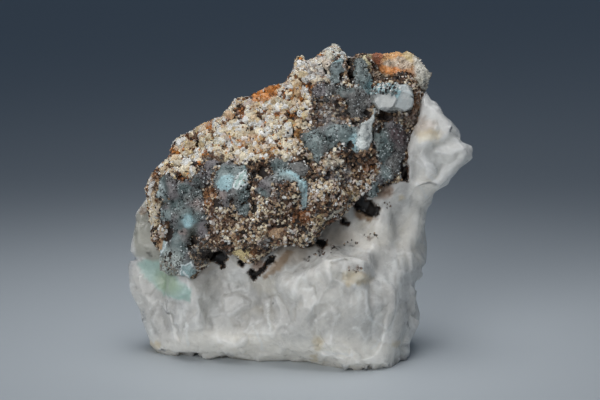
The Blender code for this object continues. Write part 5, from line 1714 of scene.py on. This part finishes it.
FINISHES = {
    "milky quartz": dict(grain=0.7, relief=0.03, roughness=(0.22, 0.5), mottling=0.30, speckle=0.04,
                         veins=0.07, **lit_within(1.0, 0.0055)),
    "druse crust": dict(grain=0.32, relief=0.10, roughness=(0.5, 0.9), mottling=0.8, speckle=0.7),
    "sugar crystals": dict(grain=0.35, relief=0.05, roughness=(0.15, 0.5), mottling=0.5, speckle=0.25),
    "blue hemimorphite": dict(grain=0.30, relief=0.05, roughness=(0.3, 0.65), mottling=0.4, speckle=0.35),
    "rusty quartz": dict(grain=0.5, relief=0.06, roughness=(0.2, 0.5), mottling=0.4, speckle=0.2,
                         **lit_within(0.5, 0.0015)),
    "white quartz": dict(grain=0.9, relief=0.03, roughness=(0.12, 0.35), mottling=0.3, speckle=0.05,
                         **lit_within(0.5, 0.002)),
}
TABLE_COLOUR = (0.52, 0.56, 0.59, 1)
TABLE_ROUGHNESS = 0.6

finishes = {name: stone(name, **values) for name, values in FINISHES.items()}
table_top = bpy.data.materials.new("pale table")
table_top.use_nodes = True
table_shader = table_top.node_tree.nodes["Principled BSDF"]
table_shader.inputs["Base Color"].default_value = TABLE_COLOUR
table_shader.inputs["Roughness"].default_value = TABLE_ROUGHNESS
floor.data.materials.append(table_top)
print("finishes:", sorted(finishes))

# %% [markdown]
# ## Putting it together
#
# Each piece rides on the stone's one body, hides the solids it stands for, and takes its finish.

# %% Pieces and bodies
(cream_lumps, cream_grains, cream_crystals, speckle,
 sparkle, lip_grains, vein_crystals, knob_crystals) = crystals
PIECES = [
    (quartz, "milky quartz", "milky_quartz", ["quartz_matrix"]),
    (bed, "druse crust", "druse_crust", ["druse_crust"]),
    (cream_lumps, "sugar crystals", "druse_crust", []),
    (cream_grains, "sugar crystals", "druse_crust", []),
    (cream_crystals, "sugar crystals", "druse_crust", []),
    (speckle, "sugar crystals", "druse_crust", []),
    (sparkle, "blue hemimorphite", "blue_hemimorphite", []),
    (lip_grains, "sugar crystals", "milky_quartz", []),
    (vein_crystals, "sugar crystals", "iron_stained_quartz", []),
    (knob_crystals, "sugar crystals", "white_quartz", []),
    (vein, "rusty quartz", "iron_stained_quartz", ["iron_vein"]),
    (knob, "white quartz", "white_quartz", ["quartz_knob"]),
]
for name, skin in skins.items():
    PIECES.append((skin, "blue hemimorphite", "blue_hemimorphite", ["hemimorphite_" + name]))
for piece, finish, slot, nodes in PIECES:
    piece.data.materials.clear()
    piece.data.materials.append(finishes[finish])
    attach(piece, "root")
    if nodes:
        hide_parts(*nodes)
triangles = sum(len(piece.data.loops) - 2 * len(piece.data.polygons) for piece, *_ in PIECES)
print(len(PIECES), "pieces,", triangles, "triangles")

# %% [markdown]
# The last cell measures the bounds of the dressed stone, which has to fit wherever its solids fit.

# %% Size
low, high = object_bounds()
